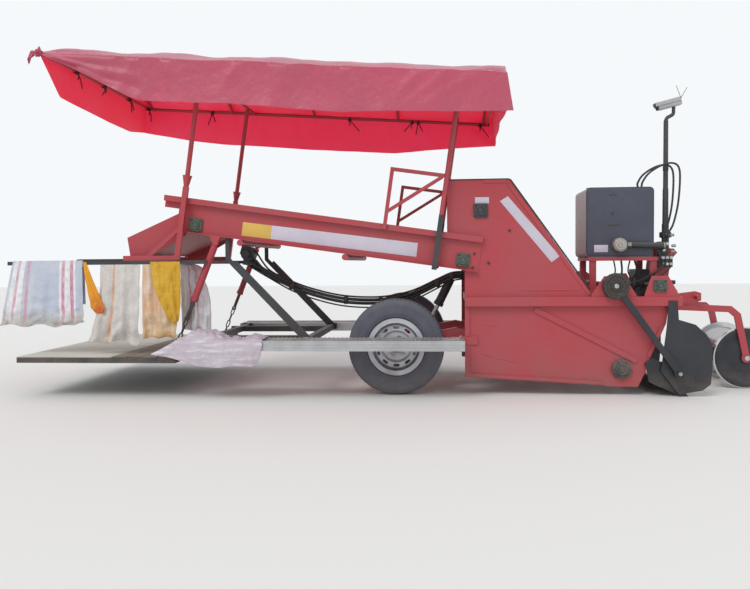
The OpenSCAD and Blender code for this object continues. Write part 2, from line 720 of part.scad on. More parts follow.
module front_posts() color(dark) both() in_deck()
    block(-pole_front - post_t / 2, -pole_front + post_t / 2, beam_y, beam_y + post_t, -28, 400);
module canopy_poles() color(red) both() in_deck() {
    for (pole = [[pole_rear, 359], [pole_front, 400]])
        translate([-pole.x, post_y, pole.y])
            cylinder(h = reach(-pole.x) - pole.y - rail_drop - bar_d / 2 - seat, d = pole_d);
    translate([-pole_rear, post_y, 359]) cylinder(h = 90, d1 = pole_d, d2 = pole_d * 2);
}
module canopy_frame() color(red) in_canopy() {
    radius = (pow(canopy_y, 2) + pow(canopy_crown, 2)) / (2 * canopy_crown);
    bow_r = radius - rail_d / 2 - 4;
    to_rail = [rail_y, radius - canopy_crown - rail_drop];
    half = atan(to_rail.x / to_rail.y) - asin((rail_d / 2 + seat) / norm(to_rail));
    start = -canopy_l + cloth + seat;
    bar_y = rail_y - rail_d / 2 - seat;
    first_bow = start + 2 * rail_d + 5;
    bows = 5;
    pitch = (-cloth - 2 * rail_d - 5 - first_bow) / (bows - 1);
    both() translate([start, rail_y, -rail_drop]) rotate([0, 90, 0])
        cylinder(h = -start - cloth - seat, d = rail_d);
    for (x = [start + rail_d, over(-pole_rear), over(-pole_front), -cloth - rail_d])
        across(x, -rail_drop, -bar_y, bar_y, bar_d);
    for (i = [0 : bows - 1])
        translate([first_bow + i * pitch, 0, canopy_crown - radius])
            rotate([90, 0, 90]) rotate([0, 0, 90 - half])
                rotate_extrude(angle = 2 * half, $fn = 240) translate([bow_r, 0]) circle(d = bar_d, $fn = 32);
}
// Section of the canopy across the machine, grown outwards
module canopy_section(grow, drop) {
    radius = (pow(canopy_y, 2) + pow(canopy_crown, 2)) / (2 * canopy_crown);
    half = canopy_y + grow;
    intersection() {
        translate([0, canopy_crown - radius]) circle(radius + grow, $fn = 96);
        translate([-half, -drop]) square([2 * half, drop + canopy_crown + grow]);
    }
}
module canopy_cover() color("crimson") in_canopy() difference() {
    side = -canopy_y - cloth - 1;
    translate([-canopy_l, 0, 0]) rotate([90, 0, 90]) linear_extrude(canopy_l) canopy_section(cloth, flap_h);
    translate([-canopy_l + cloth, 0, 0]) rotate([90, 0, 90]) linear_extrude(canopy_l - 2 * cloth)
        canopy_section(0, flap_h + 1);
    // Both flaps taper to nothing at the right rear corner
    translate([-canopy_l - 1, 0, 0]) rotate([90, 0, 90]) linear_extrude(cloth + 2)
        polygon([[side, -20], [side + taper_rear, -flap_h - 1], [side, -flap_h - 1]]);
    translate([0, -1, 0]) slab(-canopy_y - cloth, -canopy_y + 2)
        polygon([[-canopy_l - 1, -20], [-canopy_l + taper_side, -flap_h - 1], [-canopy_l - 1, -flap_h - 1]]);
}
module guard_gates() color(red) both() in_deck() {
    rear = -785;
    front = -pole_front - pole_d / 2;
    slab(beam_y, beam_y + 28) {
        rect([rear, deck_h - 42], [rear + 28, 690]);
        rect([rear, 690], [front, 718]);
        polygon(flat([rear + 14, 370], [front - 14, 694], 26));
    }
}
sack_rear = rack_rear + 50;
sack_front = sack_rear + striped_w;
front_bar = rack_front - 250;
module bag_rack() color(dark) {
    both() block(rack_rear, rack_front, rack_y - rack_t / 2, rack_y + rack_t / 2, rack_z - rack_t, rack_z);
    for (x = [rack_rear, sack_front + seat, chute_rear, front_bar])
        block(x, x + rack_t, -rack_y + rack_t / 2, rack_y - rack_t / 2, rack_z - rack_t, rack_z);
}
// Cloth folded over the bag rail, as a closed solid
module sack_striped() color("lightsteelblue") {
    inner = rack_t / 2 + seat;
    outer = inner + 11;
    crest = rack_z + 12;
    foot = rack_z - 505;
    slab(-rack_y - outer, -rack_y - inner)
        polygon([[sack_rear, crest], [rack_rear, foot - 6], [sack_front + 14, foot], [sack_front, crest]]);
    slab(-rack_y - inner - 1, -rack_y + inner + 1) rect([sack_rear, rack_z + seat], [sack_front, crest]);
    slab(-rack_y + inner, -rack_y + outer) rect([sack_rear, rack_z - 355], [sack_front, crest]);
}
hang_z = rack_z - rack_t - seat;
// Sacks hung under the right rail, in front of its rear end and under its top, as
// [upper rear, upper front, lower rear, lower front, drop]
pale_sacks = [[779, 1110, 660, 1084, 640], [1127, 1422, 1122, 1395, 620]];
module sacks_pale() color("gainsboro") {
    for (s = pale_sacks) slab(-rack_y - 26, -rack_y + 20)
        polygon([[rack_rear + s[0], hang_z], [rack_rear + s[2], rack_z - s[4]],
            [rack_rear + s[3], rack_z - s[4]], [rack_rear + s[1], hang_z]]);
    // The last one hangs across the machine, under the rack's front bar
    middle = front_bar + rack_t / 2;
    block(middle - 18, middle + 18, -rack_y + 90, -rack_y + 670, hang_z - 524, hang_z);
}
// Thin sacks hung outside the rail
module sacks_bright() color("orange") slab(-rack_y - 46, -rack_y - 26.5) {
    orange = [rack_rear + 650, rack_z - 5];
    yellow = orange + [555, 0];
    polygon([orange, orange + [60, -330], orange + [105, -415], orange + [165, -415], orange + [180, -370],
        orange + [25, 0]]);
    polygon([yellow, yellow + [20, -170], yellow + [165, -485], yellow + [223, -485], yellow + [245, -200],
        yellow + [240, 0]]);
}
module walkway_frame() color(dark) {
    low = plank_z - 55;
    size = 50;
    top = low + size;
    long_y = 470;
    rear_x = tail_x + 32;
    bar_end = hinge_y - 34;
    rear_bar = plank_hinges[2] - size / 2;
    both() {
        // Hanger and braces under the deck
        slab(panel_y + sheet, panel_y + sheet + 10) intersection() {
            union() {
                polygon([[hanger_x - 18, 1075], [hanger_x + 18, 1075],
                    [hanger_x + 18, deck_under(hanger_x + 18) - seat],
                    [hanger_x - 18, deck_under(hanger_x - 18) - seat]]);
                polygon(flat([hanger_x, 1085], [walk_front + 10, low + 40], 36));
                polygon(flat([hanger_x + 60, 1060], [walk_front + 55, low + 40], 30));
            }
            rect([hanger_x - 100, top + seat], [walk_front + 200, 2 * hinge_z + 500]);
        }
        for (run = [[rear_x, rear_bar - seat], [rear_bar + size + seat, walk_front - seat]])
            block(run[0], run[1], long_y, long_y + size, low, top);
        for (x = [plank_hinges[1], plank_hinges[2]]) {
            block(x - 47, x + 47, bar_end, hinge_y - 14, low, hinge_z);
            hinge_pair(x);
        }
        block(rear_x, rear_x + size, long_y, long_y + size, tail_z + size / 2 + seat, low - seat);
        lugs([tail_x, tail_z], [rear_x - seat, tail_z], 635, 15, 10, tail_lug, eye_pin_d);
    }
    for (x = [walk_front, rear_bar]) block(x, x + size, -bar_end + seat, bar_end - seat, low, top);
    block(rear_x, rear_x + size, -beam_y, beam_y, tail_z - size / 2, tail_z + size / 2);
}
// Route of the hose bundle from the belt motor to the body's rear tube
bundle_route = [[-1190, -415, 1040], [-1080, -400, 960], [-900, -350, 860], [-700, -300, 785],
    [-450, -280, 730], [-150, -280, 722], [100, -280, 770], [320, -290, 870], [440, -300, 924],
    [490, -300, 935], [520, -300, 935], [rear_tube - seat, -300, 935]];
module hose_bundle() color(dark) hose(bundle_route, 46, 7);
// Route of the hose from the mast's foot over to the gearbox bridge
mast_route = [[2000, -150, tank_z + tank_h + seat], [2000, -150, 1665], [2000, -150, 1690],
    [2035, -150, 1745], [2090, -150, 1790], [2160, -155, 1825], [2230, -165, 1835], [2275, -175, 1800],
    [2285, -185, 1700], [2270, -195, 1500], [2235, -203, 1340], [2200, -205, 1265], [2200, -205, 1230],
    [2200, -205, top_link_z + 90 + seat]];
module mast_hose() color(dark) hose(mast_route, 26, 6);

module wheel_arms() color(red) {
    beam = 80;
    torque_x = lift_eye_x - 30;
    both() {
        slab(arm_y - arm_w / 2, arm_y + arm_w / 2) difference() {
            union() {
                polygon(flat([0, tyre_r], arm_pin, beam));
                translate(arm_pin) circle(beam / 2);
            }
            translate(arm_pin) circle(d = arm_pin_d + 2 * fit);
        }
        across(0, tyre_r, 519, track_y + 40, stub_d);
    }
    block(-beam / 2, beam / 2, -520, 520, tyre_r - beam / 2, tyre_r + beam / 2);
    block(torque_x, torque_x + 60, -arm_y + arm_w / 2, arm_y - arm_w / 2, 400, 455);
    lugs(lift_eye, [lift_eye_x, 430], 0, 20, bracket, 26, lift_pin_d);
}
module tyre() color("#3a3b3f") translate([0, -track_y, tyre_r]) rotate([90, 0, 0]) rotate_extrude($fn = 64) {
    half = tyre_w / 2;
    wall = half - 27.5;
    polygon(twin([[bead_r + seat, wall], [flange_r + 2, wall], [flange_r + 6, half - 8],
        [flange_r + 70, half], [tyre_r - 30, half - 9], [tyre_r - 9, half - 20], [tyre_r, half - 34]]));
}
// Outline of a shape that is alike on both sides of its middle, from points on one side
function twin(half) = concat(half, [for (i = [len(half) - 1 : -1 : 0]) [half[i].x, -half[i].y]]);
// Rim with its dished disc, outer side at -Y
module rim() color("silver") translate([0, -track_y, tyre_r]) rotate([90, 0, 0]) {
    half = tyre_w / 2;
    wall = half - 27;
    bore = stub_d / 2 + fit;
    holes = 10;
    difference() {
        rotate_extrude($fn = 64) {
            polygon([[bead_r - 14, -wall - 8], [bead_r - 14, 2], [166, 25], [132, 25], [114, 5], [bore, 5],
                [bore, 14], [110, 14], [128, 34], [168, 34], [bead_r - 14, 12], [bead_r - 14, wall + 8],
                [flange_r, wall + 8], [flange_r, wall], [bead_r, wall], [bead_r, -wall], [flange_r, -wall],
                [flange_r, -wall - 8]]);
            polygon([[bore, -70], [52, -70], [52, 8], [58, 8], [58, 30], [46, 52], [0, 52], [0, 42],
                [bore, 42]]);
        }
        for (i = [0 : holes - 1]) rotate([0, 0, (i + 0.5) * 360 / holes]) translate([150, 0, 0]) {
            translate([-11, -14, 0]) cube([22, 28, 60]);
            for (y = [-14, 14]) translate([0, y, 0]) cylinder(h = 60, d = 22, $fn = 24);
        }
    }
    for (i = [0 : 4]) rotate([0, 0, 90 + i * 72]) translate([82, 0, 10]) cylinder(h = 22, d = 22, $fn = 6);
}
lift_l = norm(lift_eye - lift_pin);
module lift_barrel() color(dark) along(lift_pin, lift_eye, 0) barrel(290, 76, 36, 34, lift_pin_d);
module lift_rod() color("silver") along(lift_pin, lift_eye, 0) {
    translate([0, 0, 180]) cylinder(h = lift_l - 180 - 30, d = 36);
    eye(lift_l, 30, lift_pin_d, 4, 14);
}
// Channel plank with its hinge knuckles, on the +Y side
module plank() color("lightgray") {
    difference() {
        union() {
            block(plank_rear, plank_front, plank_y, plank_y + plank_w, plank_z - plank_h, plank_z);
            for (x = plank_hinges) {
                translate([x - hinge_l / 2, hinge_y, hinge_z]) rotate([0, 90, 0])
                    cylinder(h = hinge_l, d = hinge_d);
                translate([x - hinge_l / 2, hinge_y, hinge_z - 6]) cube([hinge_l, plank_y - hinge_y + 1, 8]);
            }
        }
        translate([plank_rear - 1, plank_y + plank_t, plank_z - plank_h + plank_t])
            cube([plank_front - plank_rear + 2, plank_w - 2 * plank_t, plank_h - 2 * plank_t]);
        translate([plank_rear - 1, plank_y + 30, plank_z - plank_h - 1])
            cube([plank_front - plank_rear + 2, plank_w - 60, plank_t + 2]);
        for (x = plank_hinges) translate([x - hinge_l, hinge_y, hinge_z]) rotate([0, 90, 0])
            cylinder(h = 2 * hinge_l, d = hinge_d / 2 + 2 * fit);
    }
}
// Sack thrown over the right plank, with a thick fold on top and a drawn-out rear tip
module sack_on_plank() color("thistle") {
    edge = plank_y + plank_w + seat;
    thick = 12;
    low = plank_z + seat;
    top = low + thick;
    front = plank_rear + 640;
    hem = plank_z - 193;
    slab(-edge - thick, -plank_y - 10) polygon([[plank_rear - 30, low], [front, low], [front, top],
        [plank_rear + 300, top], [plank_rear + 240, top + 50], [plank_rear + 75, top + 50],
        [plank_rear + 60, top], [plank_rear - 30, top]]);
    slab(-edge - thick, -edge) polygon([[plank_rear - 226, plank_z - 109], [plank_rear - 226, plank_z - 89],
        [plank_rear - 65, plank_z - 71], [plank_rear - 50, low], [plank_rear - 30, low + 1],
        [front, low + 1], [front, hem], [plank_rear + 190, hem], [plank_rear, plank_z - 155],
        [plank_rear - 80, plank_z - 137]]);
}
module rear_platform() color("#a9aa9b") {
    frame_t = 30;
    under = tail_z - 12;
    front = tail_x - tail_lug - 6;
    deck_top = under + frame_t + board;
    for (x = [tail_rear, front - frame_t]) block(x, x + frame_t, -tail_y, tail_y, under, under + frame_t);
    both() for (y = [300, tail_y - frame_t])
        block(tail_rear + frame_t, front - frame_t, y, y + frame_t, under, under + frame_t);
    block(tail_rear, front, -tail_y, tail_y, under + frame_t, deck_top);
    both() {
        slab(622, 648) difference() {
            union() {
                translate([tail_x, tail_z]) circle(16);
                rect([front - 5, under], [tail_x, under + frame_t]);
            }
            translate([tail_x, tail_z]) circle(d = eye_pin_d + 2 * fit);
        }
        for (side = [-1, 1]) slab(tail_cyl_y + side * 17 - 4, tail_cyl_y + side * 17 + 4) {
            translate(tail_eye) circle(16);
            rect([tail_eye.x - 16, deck_top], [tail_eye.x + 16, tail_eye.y]);
        }
        across(tail_eye.x, tail_eye.y, tail_cyl_y - 21, tail_cyl_y + 21, eye_pin_d);
    }
}
tail_l = norm(tail_eye - tail_pin);
rod_eye_at = 650;
module tail_barrels() color("firebrick") both() along(tail_pin, tail_eye, tail_cyl_y)
    barrel(500, 56, 30, 26, tail_pin_d);
// Rods with the lifting chains at their ends
module tail_rods() color("silver") both() along(tail_pin, tail_eye, tail_cyl_y) {
    wire = 9;
    links = 4;
    play = 6;
    chain_end = tail_l - eye_pin_d / 2 - play - 1;
    step = (chain_end - rod_eye_at) / links;
    translate([0, 0, 260]) cylinder(h = rod_eye_at - 260 - 15, d = 30);
    eye(rod_eye_at, 18, 14, 3, 10);
    for (i = [0 : links - 1]) translate([0, 0, rod_eye_at + (i + 0.5) * step])
        rotate([0, 0, i % 2 == 0 ? 0 : 90]) chain_link(step + (i == links - 1 ? 0 : wire), 34, wire);
    eye(tail_l, 16, eye_pin_d, play, 7);
}
// Flat ring link, long side along Z
module chain_link(l, w, wire) {
    ends = [[0, -l / 2 + w / 2], [0, l / 2 - w / 2]];
    slab(-wire / 2, wire / 2) difference() {
        stadium(ends[0], ends[1], w / 2);
        stadium(ends[0], ends[1], w / 2 - wire);
    }
}
elbow = [roller_x - 98, beam_z - 63];
module roller_frame() color(red) both() slab(roller_l + 12, roller_l + 32) difference() {
    union() {
        polygon([[nose_tube - 10, beam_z], [beam_front + 10, beam_z], elbow + [-22, 37], elbow + [50, -25],
            [roller_x + 27, roller_r], [roller_x - 27, roller_r], elbow - [0, 50], elbow - [44, 13],
            [nose_tube - 10, beam_z - 50]]);
        translate([roller_x, roller_r]) circle(38);
    }
    translate([roller_x, roller_r]) circle(d = roller_axle_d + 2 * fit);
}
// Waisted roller with flat end discs
module front_roller() color("silver") translate([roller_x, 0, roller_r]) rotate([90, 0, 0]) {
    cone_r = roller_r - 40;
    steps = 8;
    axle_l = roller_l + 46;
    rotate_extrude($fn = 72) polygon(twin(concat(
        [for (i = [1 : steps])
            let (f = i / steps) [roller_waist + (cone_r - roller_waist) * pow(f, 1.7), f * (roller_l - 34)]],
        [[roller_r, roller_l - 34], [roller_r, roller_l], [roller_axle_d / 2, roller_l],
            [roller_axle_d / 2, axle_l], [0, axle_l]])));
}

place() main_frame();
place() mirror([0, 1, 0]) side_panel();  // side_panel_right
place() side_panel();  // side_panel_left
place() hood_cover();
place() elevator_chain();
place() elevator_rollers();
place() hub_bearings();
place() pillow_bearings();
place() drive_shafts();
place() shaker_rods();
place() gearbox();
place() share();
place() share_shields();
place() hitch_mast();
place() tank();
place() tank_stand();
place() filter_cap();
place() suction_line();
place() camera_mast();
place() camera();
place() mirror([0, 1, 0]) deck_side();  // deck_side_right
place() deck_side();  // deck_side_left
place() deck_crossbars();
place() picking_belt();
place() belt_rollers();
place() belt_motor();
place() chute();
place() chute_frame();
place() front_posts();
place() canopy_poles();
place() canopy_frame();
place() canopy_cover();
place() guard_gates();
place() bag_rack();
place() sack_striped();
place() sacks_pale();
place() sacks_bright();
place() walkway_frame();
place() hose_bundle();
place() mast_hose();
place() wheel_arms();
place() tyre();  // tyre_right
place() rim();  // rim_right
place() mirror([0, 1, 0]) tyre();  // tyre_left
place() mirror([0, 1, 0]) rim();  // rim_left
place() lift_barrel();
place() lift_rod();
place() mirror([0, 1, 0]) plank();  // plank_right
place() plank();  // plank_left
place() sack_on_plank();
place() rear_platform();
place() tail_barrels();
place() tail_rods();
place() roller_frame();
place() front_roller();
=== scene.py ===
import bpy
import bmesh
import json
import math
from mathutils import Matrix, Vector, noise


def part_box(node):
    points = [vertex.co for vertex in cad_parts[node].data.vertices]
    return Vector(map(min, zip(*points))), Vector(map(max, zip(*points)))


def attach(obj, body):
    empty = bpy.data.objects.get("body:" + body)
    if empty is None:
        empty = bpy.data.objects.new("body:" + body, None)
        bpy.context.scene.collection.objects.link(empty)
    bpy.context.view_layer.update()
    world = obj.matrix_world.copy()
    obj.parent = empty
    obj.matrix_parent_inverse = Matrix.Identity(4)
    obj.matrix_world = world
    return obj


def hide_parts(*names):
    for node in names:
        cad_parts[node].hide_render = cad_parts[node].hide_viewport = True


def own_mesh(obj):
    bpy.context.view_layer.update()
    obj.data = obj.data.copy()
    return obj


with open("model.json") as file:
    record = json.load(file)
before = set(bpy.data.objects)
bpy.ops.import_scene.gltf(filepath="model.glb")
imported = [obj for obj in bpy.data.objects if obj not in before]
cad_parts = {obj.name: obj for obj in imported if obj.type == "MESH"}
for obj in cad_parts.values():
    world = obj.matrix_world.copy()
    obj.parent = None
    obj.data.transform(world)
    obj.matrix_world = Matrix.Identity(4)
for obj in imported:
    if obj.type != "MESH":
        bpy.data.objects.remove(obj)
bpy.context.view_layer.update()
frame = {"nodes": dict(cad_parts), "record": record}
nodes = frame["nodes"]
axleX = 0.045  # the wheel axle in the frame; stations along the machine are counted from it


def linear(hexText):
    # sRGB hex colour as the linear one that a shader reads
    parts = [int(hexText[i:i + 2], 16) / 255 for i in (1, 3, 5)]
    return [p / 12.92 if p <= 0.04045 else ((p + 0.055) / 1.055) ** 2.4 for p in parts] + [1.0]


def addNode(tree, kind, inputs=None, **settings):
    # Adds a shader node; each input is a value or another node's output
    made = tree.nodes.new("ShaderNode" + kind)
    for name, value in settings.items():
        setattr(made, name, value)
    for name, value in (inputs or {}).items():
        if isinstance(value, bpy.types.NodeSocket):
            tree.links.new(value, made.inputs[name])
        else:
            made.inputs[name].default_value = value
    return made


def newMaterial(name, **surface):
    made = bpy.data.materials.new(name)
    made.use_nodes = True
    shader = made.node_tree.nodes["Principled BSDF"]
    for socket, value in surface.items():
        shader.inputs[socket.replace("_", " ")].default_value = value
    return made, made.node_tree, shader


def spread(tree, place, size, low, high, detail=3.0, stretch=(1, 1, 1)):
    # Soft patches of a real size in metres, as a share from 0 to 1
    mapped = addNode(tree, "Mapping", {"Vector": place, "Scale": [s / size for s in stretch]})
    cloud = addNode(tree, "TexNoise", {"Vector": mapped.outputs["Vector"], "Scale": 1.0, "Detail": detail,
                                       "Roughness": 0.6})
    return addNode(tree, "MapRange", {"Value": cloud.outputs["Fac"], "From Min": low,
                                      "From Max": high}).outputs["Result"]


def coat(tree, under, over, share, amount=1.0):
    # Lays a colour over what is there, by a pattern's share and by how much of it there is
    part = addNode(tree, "Math", {0: share, 1: amount}, operation="MULTIPLY").outputs["Value"]
    return addNode(tree, "Mix", {0: part, 6: under, 7: over}, data_type="RGBA").outputs[2]


def fieldFinish(name, look):
    # A finish that has worked in the field: patches of fading, grit, dust on top faces and soil low down
    made, tree, shader = newMaterial(name, Metallic=look.get("metallic", 0.0))
    place = addNode(tree, "TexCoord").outputs["Object"]
    patches = spread(tree, place, look.get("patch", 0.45), 0.38, 0.68)
    grit = spread(tree, place, look.get("grit", 0.012), 0.30, 0.75, 6.0)
    dust = linear(look["dust"])
    colour = coat(tree, linear(look["base"]), linear(look["faded"]), patches)
    colour = coat(tree, colour, dust, grit, look.get("gritShare", 0.16))
    facing = addNode(tree, "NewGeometry").outputs["Normal"]
    up = addNode(tree, "SeparateXYZ", {"Vector": facing}).outputs["Z"]
    lying = addNode(tree, "MapRange", {"Value": up, "From Min": 0.35, "From Max": 0.95}).outputs["Result"]
    colour = coat(tree, colour, dust, lying, look.get("topDust", 0.45))
    height = addNode(tree, "SeparateXYZ", {"Vector": place}).outputs["Z"]
    low = addNode(tree, "MapRange", {"Value": height, "From Min": look.get("soilTop", 0.55),
                                     "From Max": 0.02}).outputs["Result"]
    patchy = addNode(tree, "Math", {0: low, 1: spread(tree, place, 0.11, 0.34, 0.62, 5.0)},
                     operation="MULTIPLY").outputs["Value"]
    colour = coat(tree, colour, linear("#7d6a5d"), patchy, look.get("soilShare", 0.7))
    rust = spread(tree, place, look.get("rustSize", 0.035), look.get("rustFrom", 0.66), 0.74, 5.0)
    colour = coat(tree, colour, linear("#5b3222"), rust, look.get("rustShare", 0.7))
    tree.links.new(colour, shader.inputs["Base Color"])
    smooth, rough = look["roughness"]
    dulled = addNode(tree, "MapRange", {"Value": grit, "To Min": smooth, "To Max": rough})
    tree.links.new(dulled.outputs["Result"], shader.inputs["Roughness"])
    ripple = spread(tree, place, look.get("rippleSize", 0.02), 0.2, 0.8, 2.0)
    bump = addNode(tree, "Bump", {"Height": ripple, "Strength": look.get("bump", 0.12), "Distance": 0.002})
    tree.links.new(bump.outputs["Normal"], shader.inputs["Normal"])
    return made


def dress(piece, finish):
    piece.data.materials.clear()
    piece.data.materials.append(finish)


# Enamel sprayed over sheet steel: even colour that has chalked to a dusty pink on top, rust only at chips
redPaint = fieldFinish("sprayedRedEnamel", {
    "base": "#b03842", "faded": "#a8464e", "dust": "#b8756c", "roughness": (0.38, 0.62), "soilTop": 0.34,
    "soilShare": 0.45, "rustShare": 0.5, "rustFrom": 0.70, "patch": 0.6})
# Black enamel, dulled to a soft grey by dust
blackPaint = fieldFinish("dustyBlackEnamel", {
    "base": "#2c2e33", "faded": "#3a3c40", "dust": "#75706a", "roughness": (0.42, 0.7), "soilTop": 0.7,
    "gritShare": 0.22, "patch": 0.3})
# Hammered green machine enamel on cast housings: mottled and half matt
greenPaint = fieldFinish("greenCastingEnamel", {
    "base": "#3f5246", "faded": "#4b5a4f", "dust": "#8a8478", "roughness": (0.4, 0.6), "bump": 0.25,
    "rippleSize": 0.008, "patch": 0.08})
# Plough steel, scoured by soil and browned where it isn't
soilSteel = fieldFinish("scouredPloughSteel", {
    "base": "#6f655c", "faded": "#57493f", "dust": "#8a7767", "metallic": 0.75, "roughness": (0.35, 0.7),
    "soilTop": 0.4, "rustFrom": 0.52, "rustSize": 0.06, "bump": 0.35})
# Rolled steel bars rubbed dull by earth: a brownish, broken glint
chainSteel = fieldFinish("rubbedBarSteel", {
    "base": "#57534f", "faded": "#6b5f55", "dust": "#8c7b6c", "metallic": 0.6, "roughness": (0.4, 0.7),
    "rustFrom": 0.55, "rustSize": 0.02, "soilTop": 0.5})
# Turned sheet steel polished by the ridge: it mirrors the sky in long streaks
rollerSteel = fieldFinish("soilPolishedSheet", {
    "base": "#c9cacb", "faded": "#b6b8ba", "dust": "#a2988e", "metallic": 0.95, "roughness": (0.12, 0.26),
    "rustShare": 0.15, "soilTop": 0.16, "soilShare": 0.35, "gritShare": 0.04, "bump": 0.04})
# Silver wheel lacquer, bright on its edges and brown at the bottom
rimPaint = fieldFinish("silverWheelLacquer", {
    "base": "#c6c8cf", "faded": "#b6b7bd", "dust": "#9a928b", "metallic": 0.35, "roughness": (0.35, 0.55),
    "rustShare": 0.6, "rustFrom": 0.68, "soilTop": 0.5, "soilShare": 0.6, "patch": 0.12})
# Extruded aluminium, mill finish: a cool, pale sheen
aluminium = fieldFinish("millAluminium", {
    "base": "#c5c8cb", "faded": "#b3b6b9", "dust": "#a39a90", "metallic": 0.85, "roughness": (0.28, 0.5),
    "rustShare": 0.0, "soilTop": 0.9, "soilShare": 0.25, "gritShare": 0.12})
# Hard chrome on the rods: the brightest, sharpest reflection of the machine
chrome = fieldFinish("hardChrome", {
    "base": "#cfd2d4", "faded": "#c2c4c6", "dust": "#9a9189", "metallic": 1.0, "roughness": (0.12, 0.3),
    "rustShare": 0.0, "topDust": 0.15, "gritShare": 0.06, "soilShare": 0.1})
# Slate grey enamel: a smooth, cool and nearly flat plate
tankPaint = fieldFinish("greyTankEnamel", {
    "base": "#3f4352", "faded": "#474b59", "dust": "#7d7b7a", "roughness": (0.4, 0.55), "patch": 0.25,
    "rustShare": 0.2, "gritShare": 0.1})
# Sand-cast aluminium: pale, grainy and a little pitted
castAluminium = fieldFinish("castAluminium", {
    "base": "#b4b2aa", "faded": "#a09d94", "dust": "#8d857a", "metallic": 0.8, "roughness": (0.35, 0.6),
    "rustShare": 0.0, "bump": 0.3, "rippleSize": 0.006})
# White powder coat, dimmed by dust
cameraPaint = fieldFinish("whitePowderCoat", {
    "base": "#b9bbbd", "faded": "#a9abae", "dust": "#8f8b86", "roughness": (0.4, 0.55), "rustShare": 0.0,
    "patch": 0.1})
# Braided rubber hose: nearly black, grey with dust on its upper side
hoseRubber = fieldFinish("braidedHoseRubber", {
    "base": "#1f2023", "faded": "#2a2b2e", "dust": "#6d665f", "roughness": (0.5, 0.75), "rustShare": 0.0,
    "patch": 0.15, "topDust": 0.3})
# Tyre rubber: slate grey with dust, brown where it meets the soil
tyreRubber = fieldFinish("dustyTyreRubber", {
    "base": "#4b4e5b", "faded": "#555865", "dust": "#84817f", "roughness": (0.6, 0.85), "rustShare": 0.0,
    "patch": 0.09, "soilTop": 0.5, "soilShare": 0.40, "gritShare": 0.25, "bump": 0.25})
print("finishes made")

cadFinish = {
    "red_paint": redPaint, "black_paint": blackPaint, "green_paint": greenPaint,
    "soil_polished_steel": soilSteel, "chain_steel": chainSteel, "roller_steel": rollerSteel,
    "rim_steel": rimPaint, "tyre_rubber": tyreRubber, "plank_aluminium": aluminium, "chrome": chrome,
    "tank_paint": tankPaint, "cap_aluminium": castAluminium, "camera_white": cameraPaint,
    "hose_rubber": hoseRubber}
for part in frame["record"]["subparts"]:
    dress(nodes[part["node"]], cadFinish.get(part["material_slot"], redPaint))


def addObject(name, data):
    made = bpy.data.objects.new(name, data)
    bpy.context.scene.collection.objects.link(made)
    return made


# Solved from the photograph: degrees, metres, and the focal length in pixels of a frame 750 wide
camera = {"station": (0.398, -7.072, 1.044), "yaw": 5.06, "down": 2.25, "roll": -0.45, "focal": 808.4,
          "frameWidth": 750, "filmWidth": 36, "far": 200}


def placeCamera():
    eye = addObject("camera", bpy.data.cameras.new("camera"))
    eye.data.sensor_width = camera["filmWidth"]
    eye.data.lens = camera["focal"] / camera["frameWidth"] * camera["filmWidth"]
    eye.data.clip_end = camera["far"]
    x, y, z = camera["station"]
    turns = ((camera["yaw"], "Z"), (90 - camera["down"], "X"), (camera["roll"], "Z"))
    place = Matrix.Translation((x + axleX, y, z))
    for degrees, axis in turns:
        place = place @ Matrix.Rotation(math.radians(degrees), 4, axis)
    eye.matrix_world = place
    bpy.context.scene.camera = eye
    bpy.context.scene.view_settings.view_transform = "Standard"


placeCamera()


def clearSelection():
    if bpy.context.object and bpy.context.object.mode != "OBJECT":
        bpy.ops.object.mode_set(mode="OBJECT")
    bpy.ops.object.select_all(action="DESELECT")


def takeUp(piece):
    clearSelection()
    piece.select_set(True)
    bpy.context.view_layer.objects.active = piece
    return piece


def editing(piece, kind="FACE", every=False):
    takeUp(piece)
    bpy.ops.object.mode_set(mode="EDIT")
    bpy.ops.mesh.select_mode(type=kind)
    bpy.ops.mesh.select_all(action="SELECT" if every else "DESELECT")


def finishEditing():
    bpy.ops.object.mode_set(mode="OBJECT")


def pick(piece, test):
    # Selects the faces whose middle and normal pass the test, in edit mode
    mesh = bmesh.from_edit_mesh(piece.data)
    for face in mesh.faces:
        face.select_set(bool(test(face.calc_center_median(), face.normal)))
    bmesh.update_edit_mesh(piece.data)


def bevelRun(piece, test, width, segments):
    # Rounds the edges whose two ends pass the test
    editing(piece, "EDGE")
    mesh = bmesh.from_edit_mesh(piece.data)
    for edge in mesh.edges:
        edge.select_set(test(edge.verts[0].co, edge.verts[1].co))
    bmesh.update_edit_mesh(piece.data)
    bpy.ops.mesh.bevel(offset=width, segments=segments, affect="EDGES")
    finishEditing()


def pressFaces(piece, test, steps, along=(0, 0, 1)):
    # Insets the faces that pass the test and moves them, once for each (inset, move)
    editing(piece)
    pick(piece, test)
    for thickness, move in steps:
        bpy.ops.mesh.inset(thickness=thickness)
        bpy.ops.transform.translate(value=[move * part for part in along])
    finishEditing()
    return piece


def upper(middle, normal):
    return normal.z > 0.9


def bevelled(piece, width, segments=1):
    # Softens every sharp edge
    takeUp(piece)
    edges = piece.modifiers.new("edges", "BEVEL")
    edges.width, edges.segments = width, segments
    bpy.ops.object.modifier_apply(modifier=edges.name)
    return piece


def weld(piece, threshold):
    # Merges doubles, then turns the faces outwards
    editing(piece, "VERT", every=True)
    bpy.ops.mesh.remove_doubles(threshold=threshold)
    bpy.ops.mesh.normals_make_consistent(inside=False)
    finishEditing()
    return piece


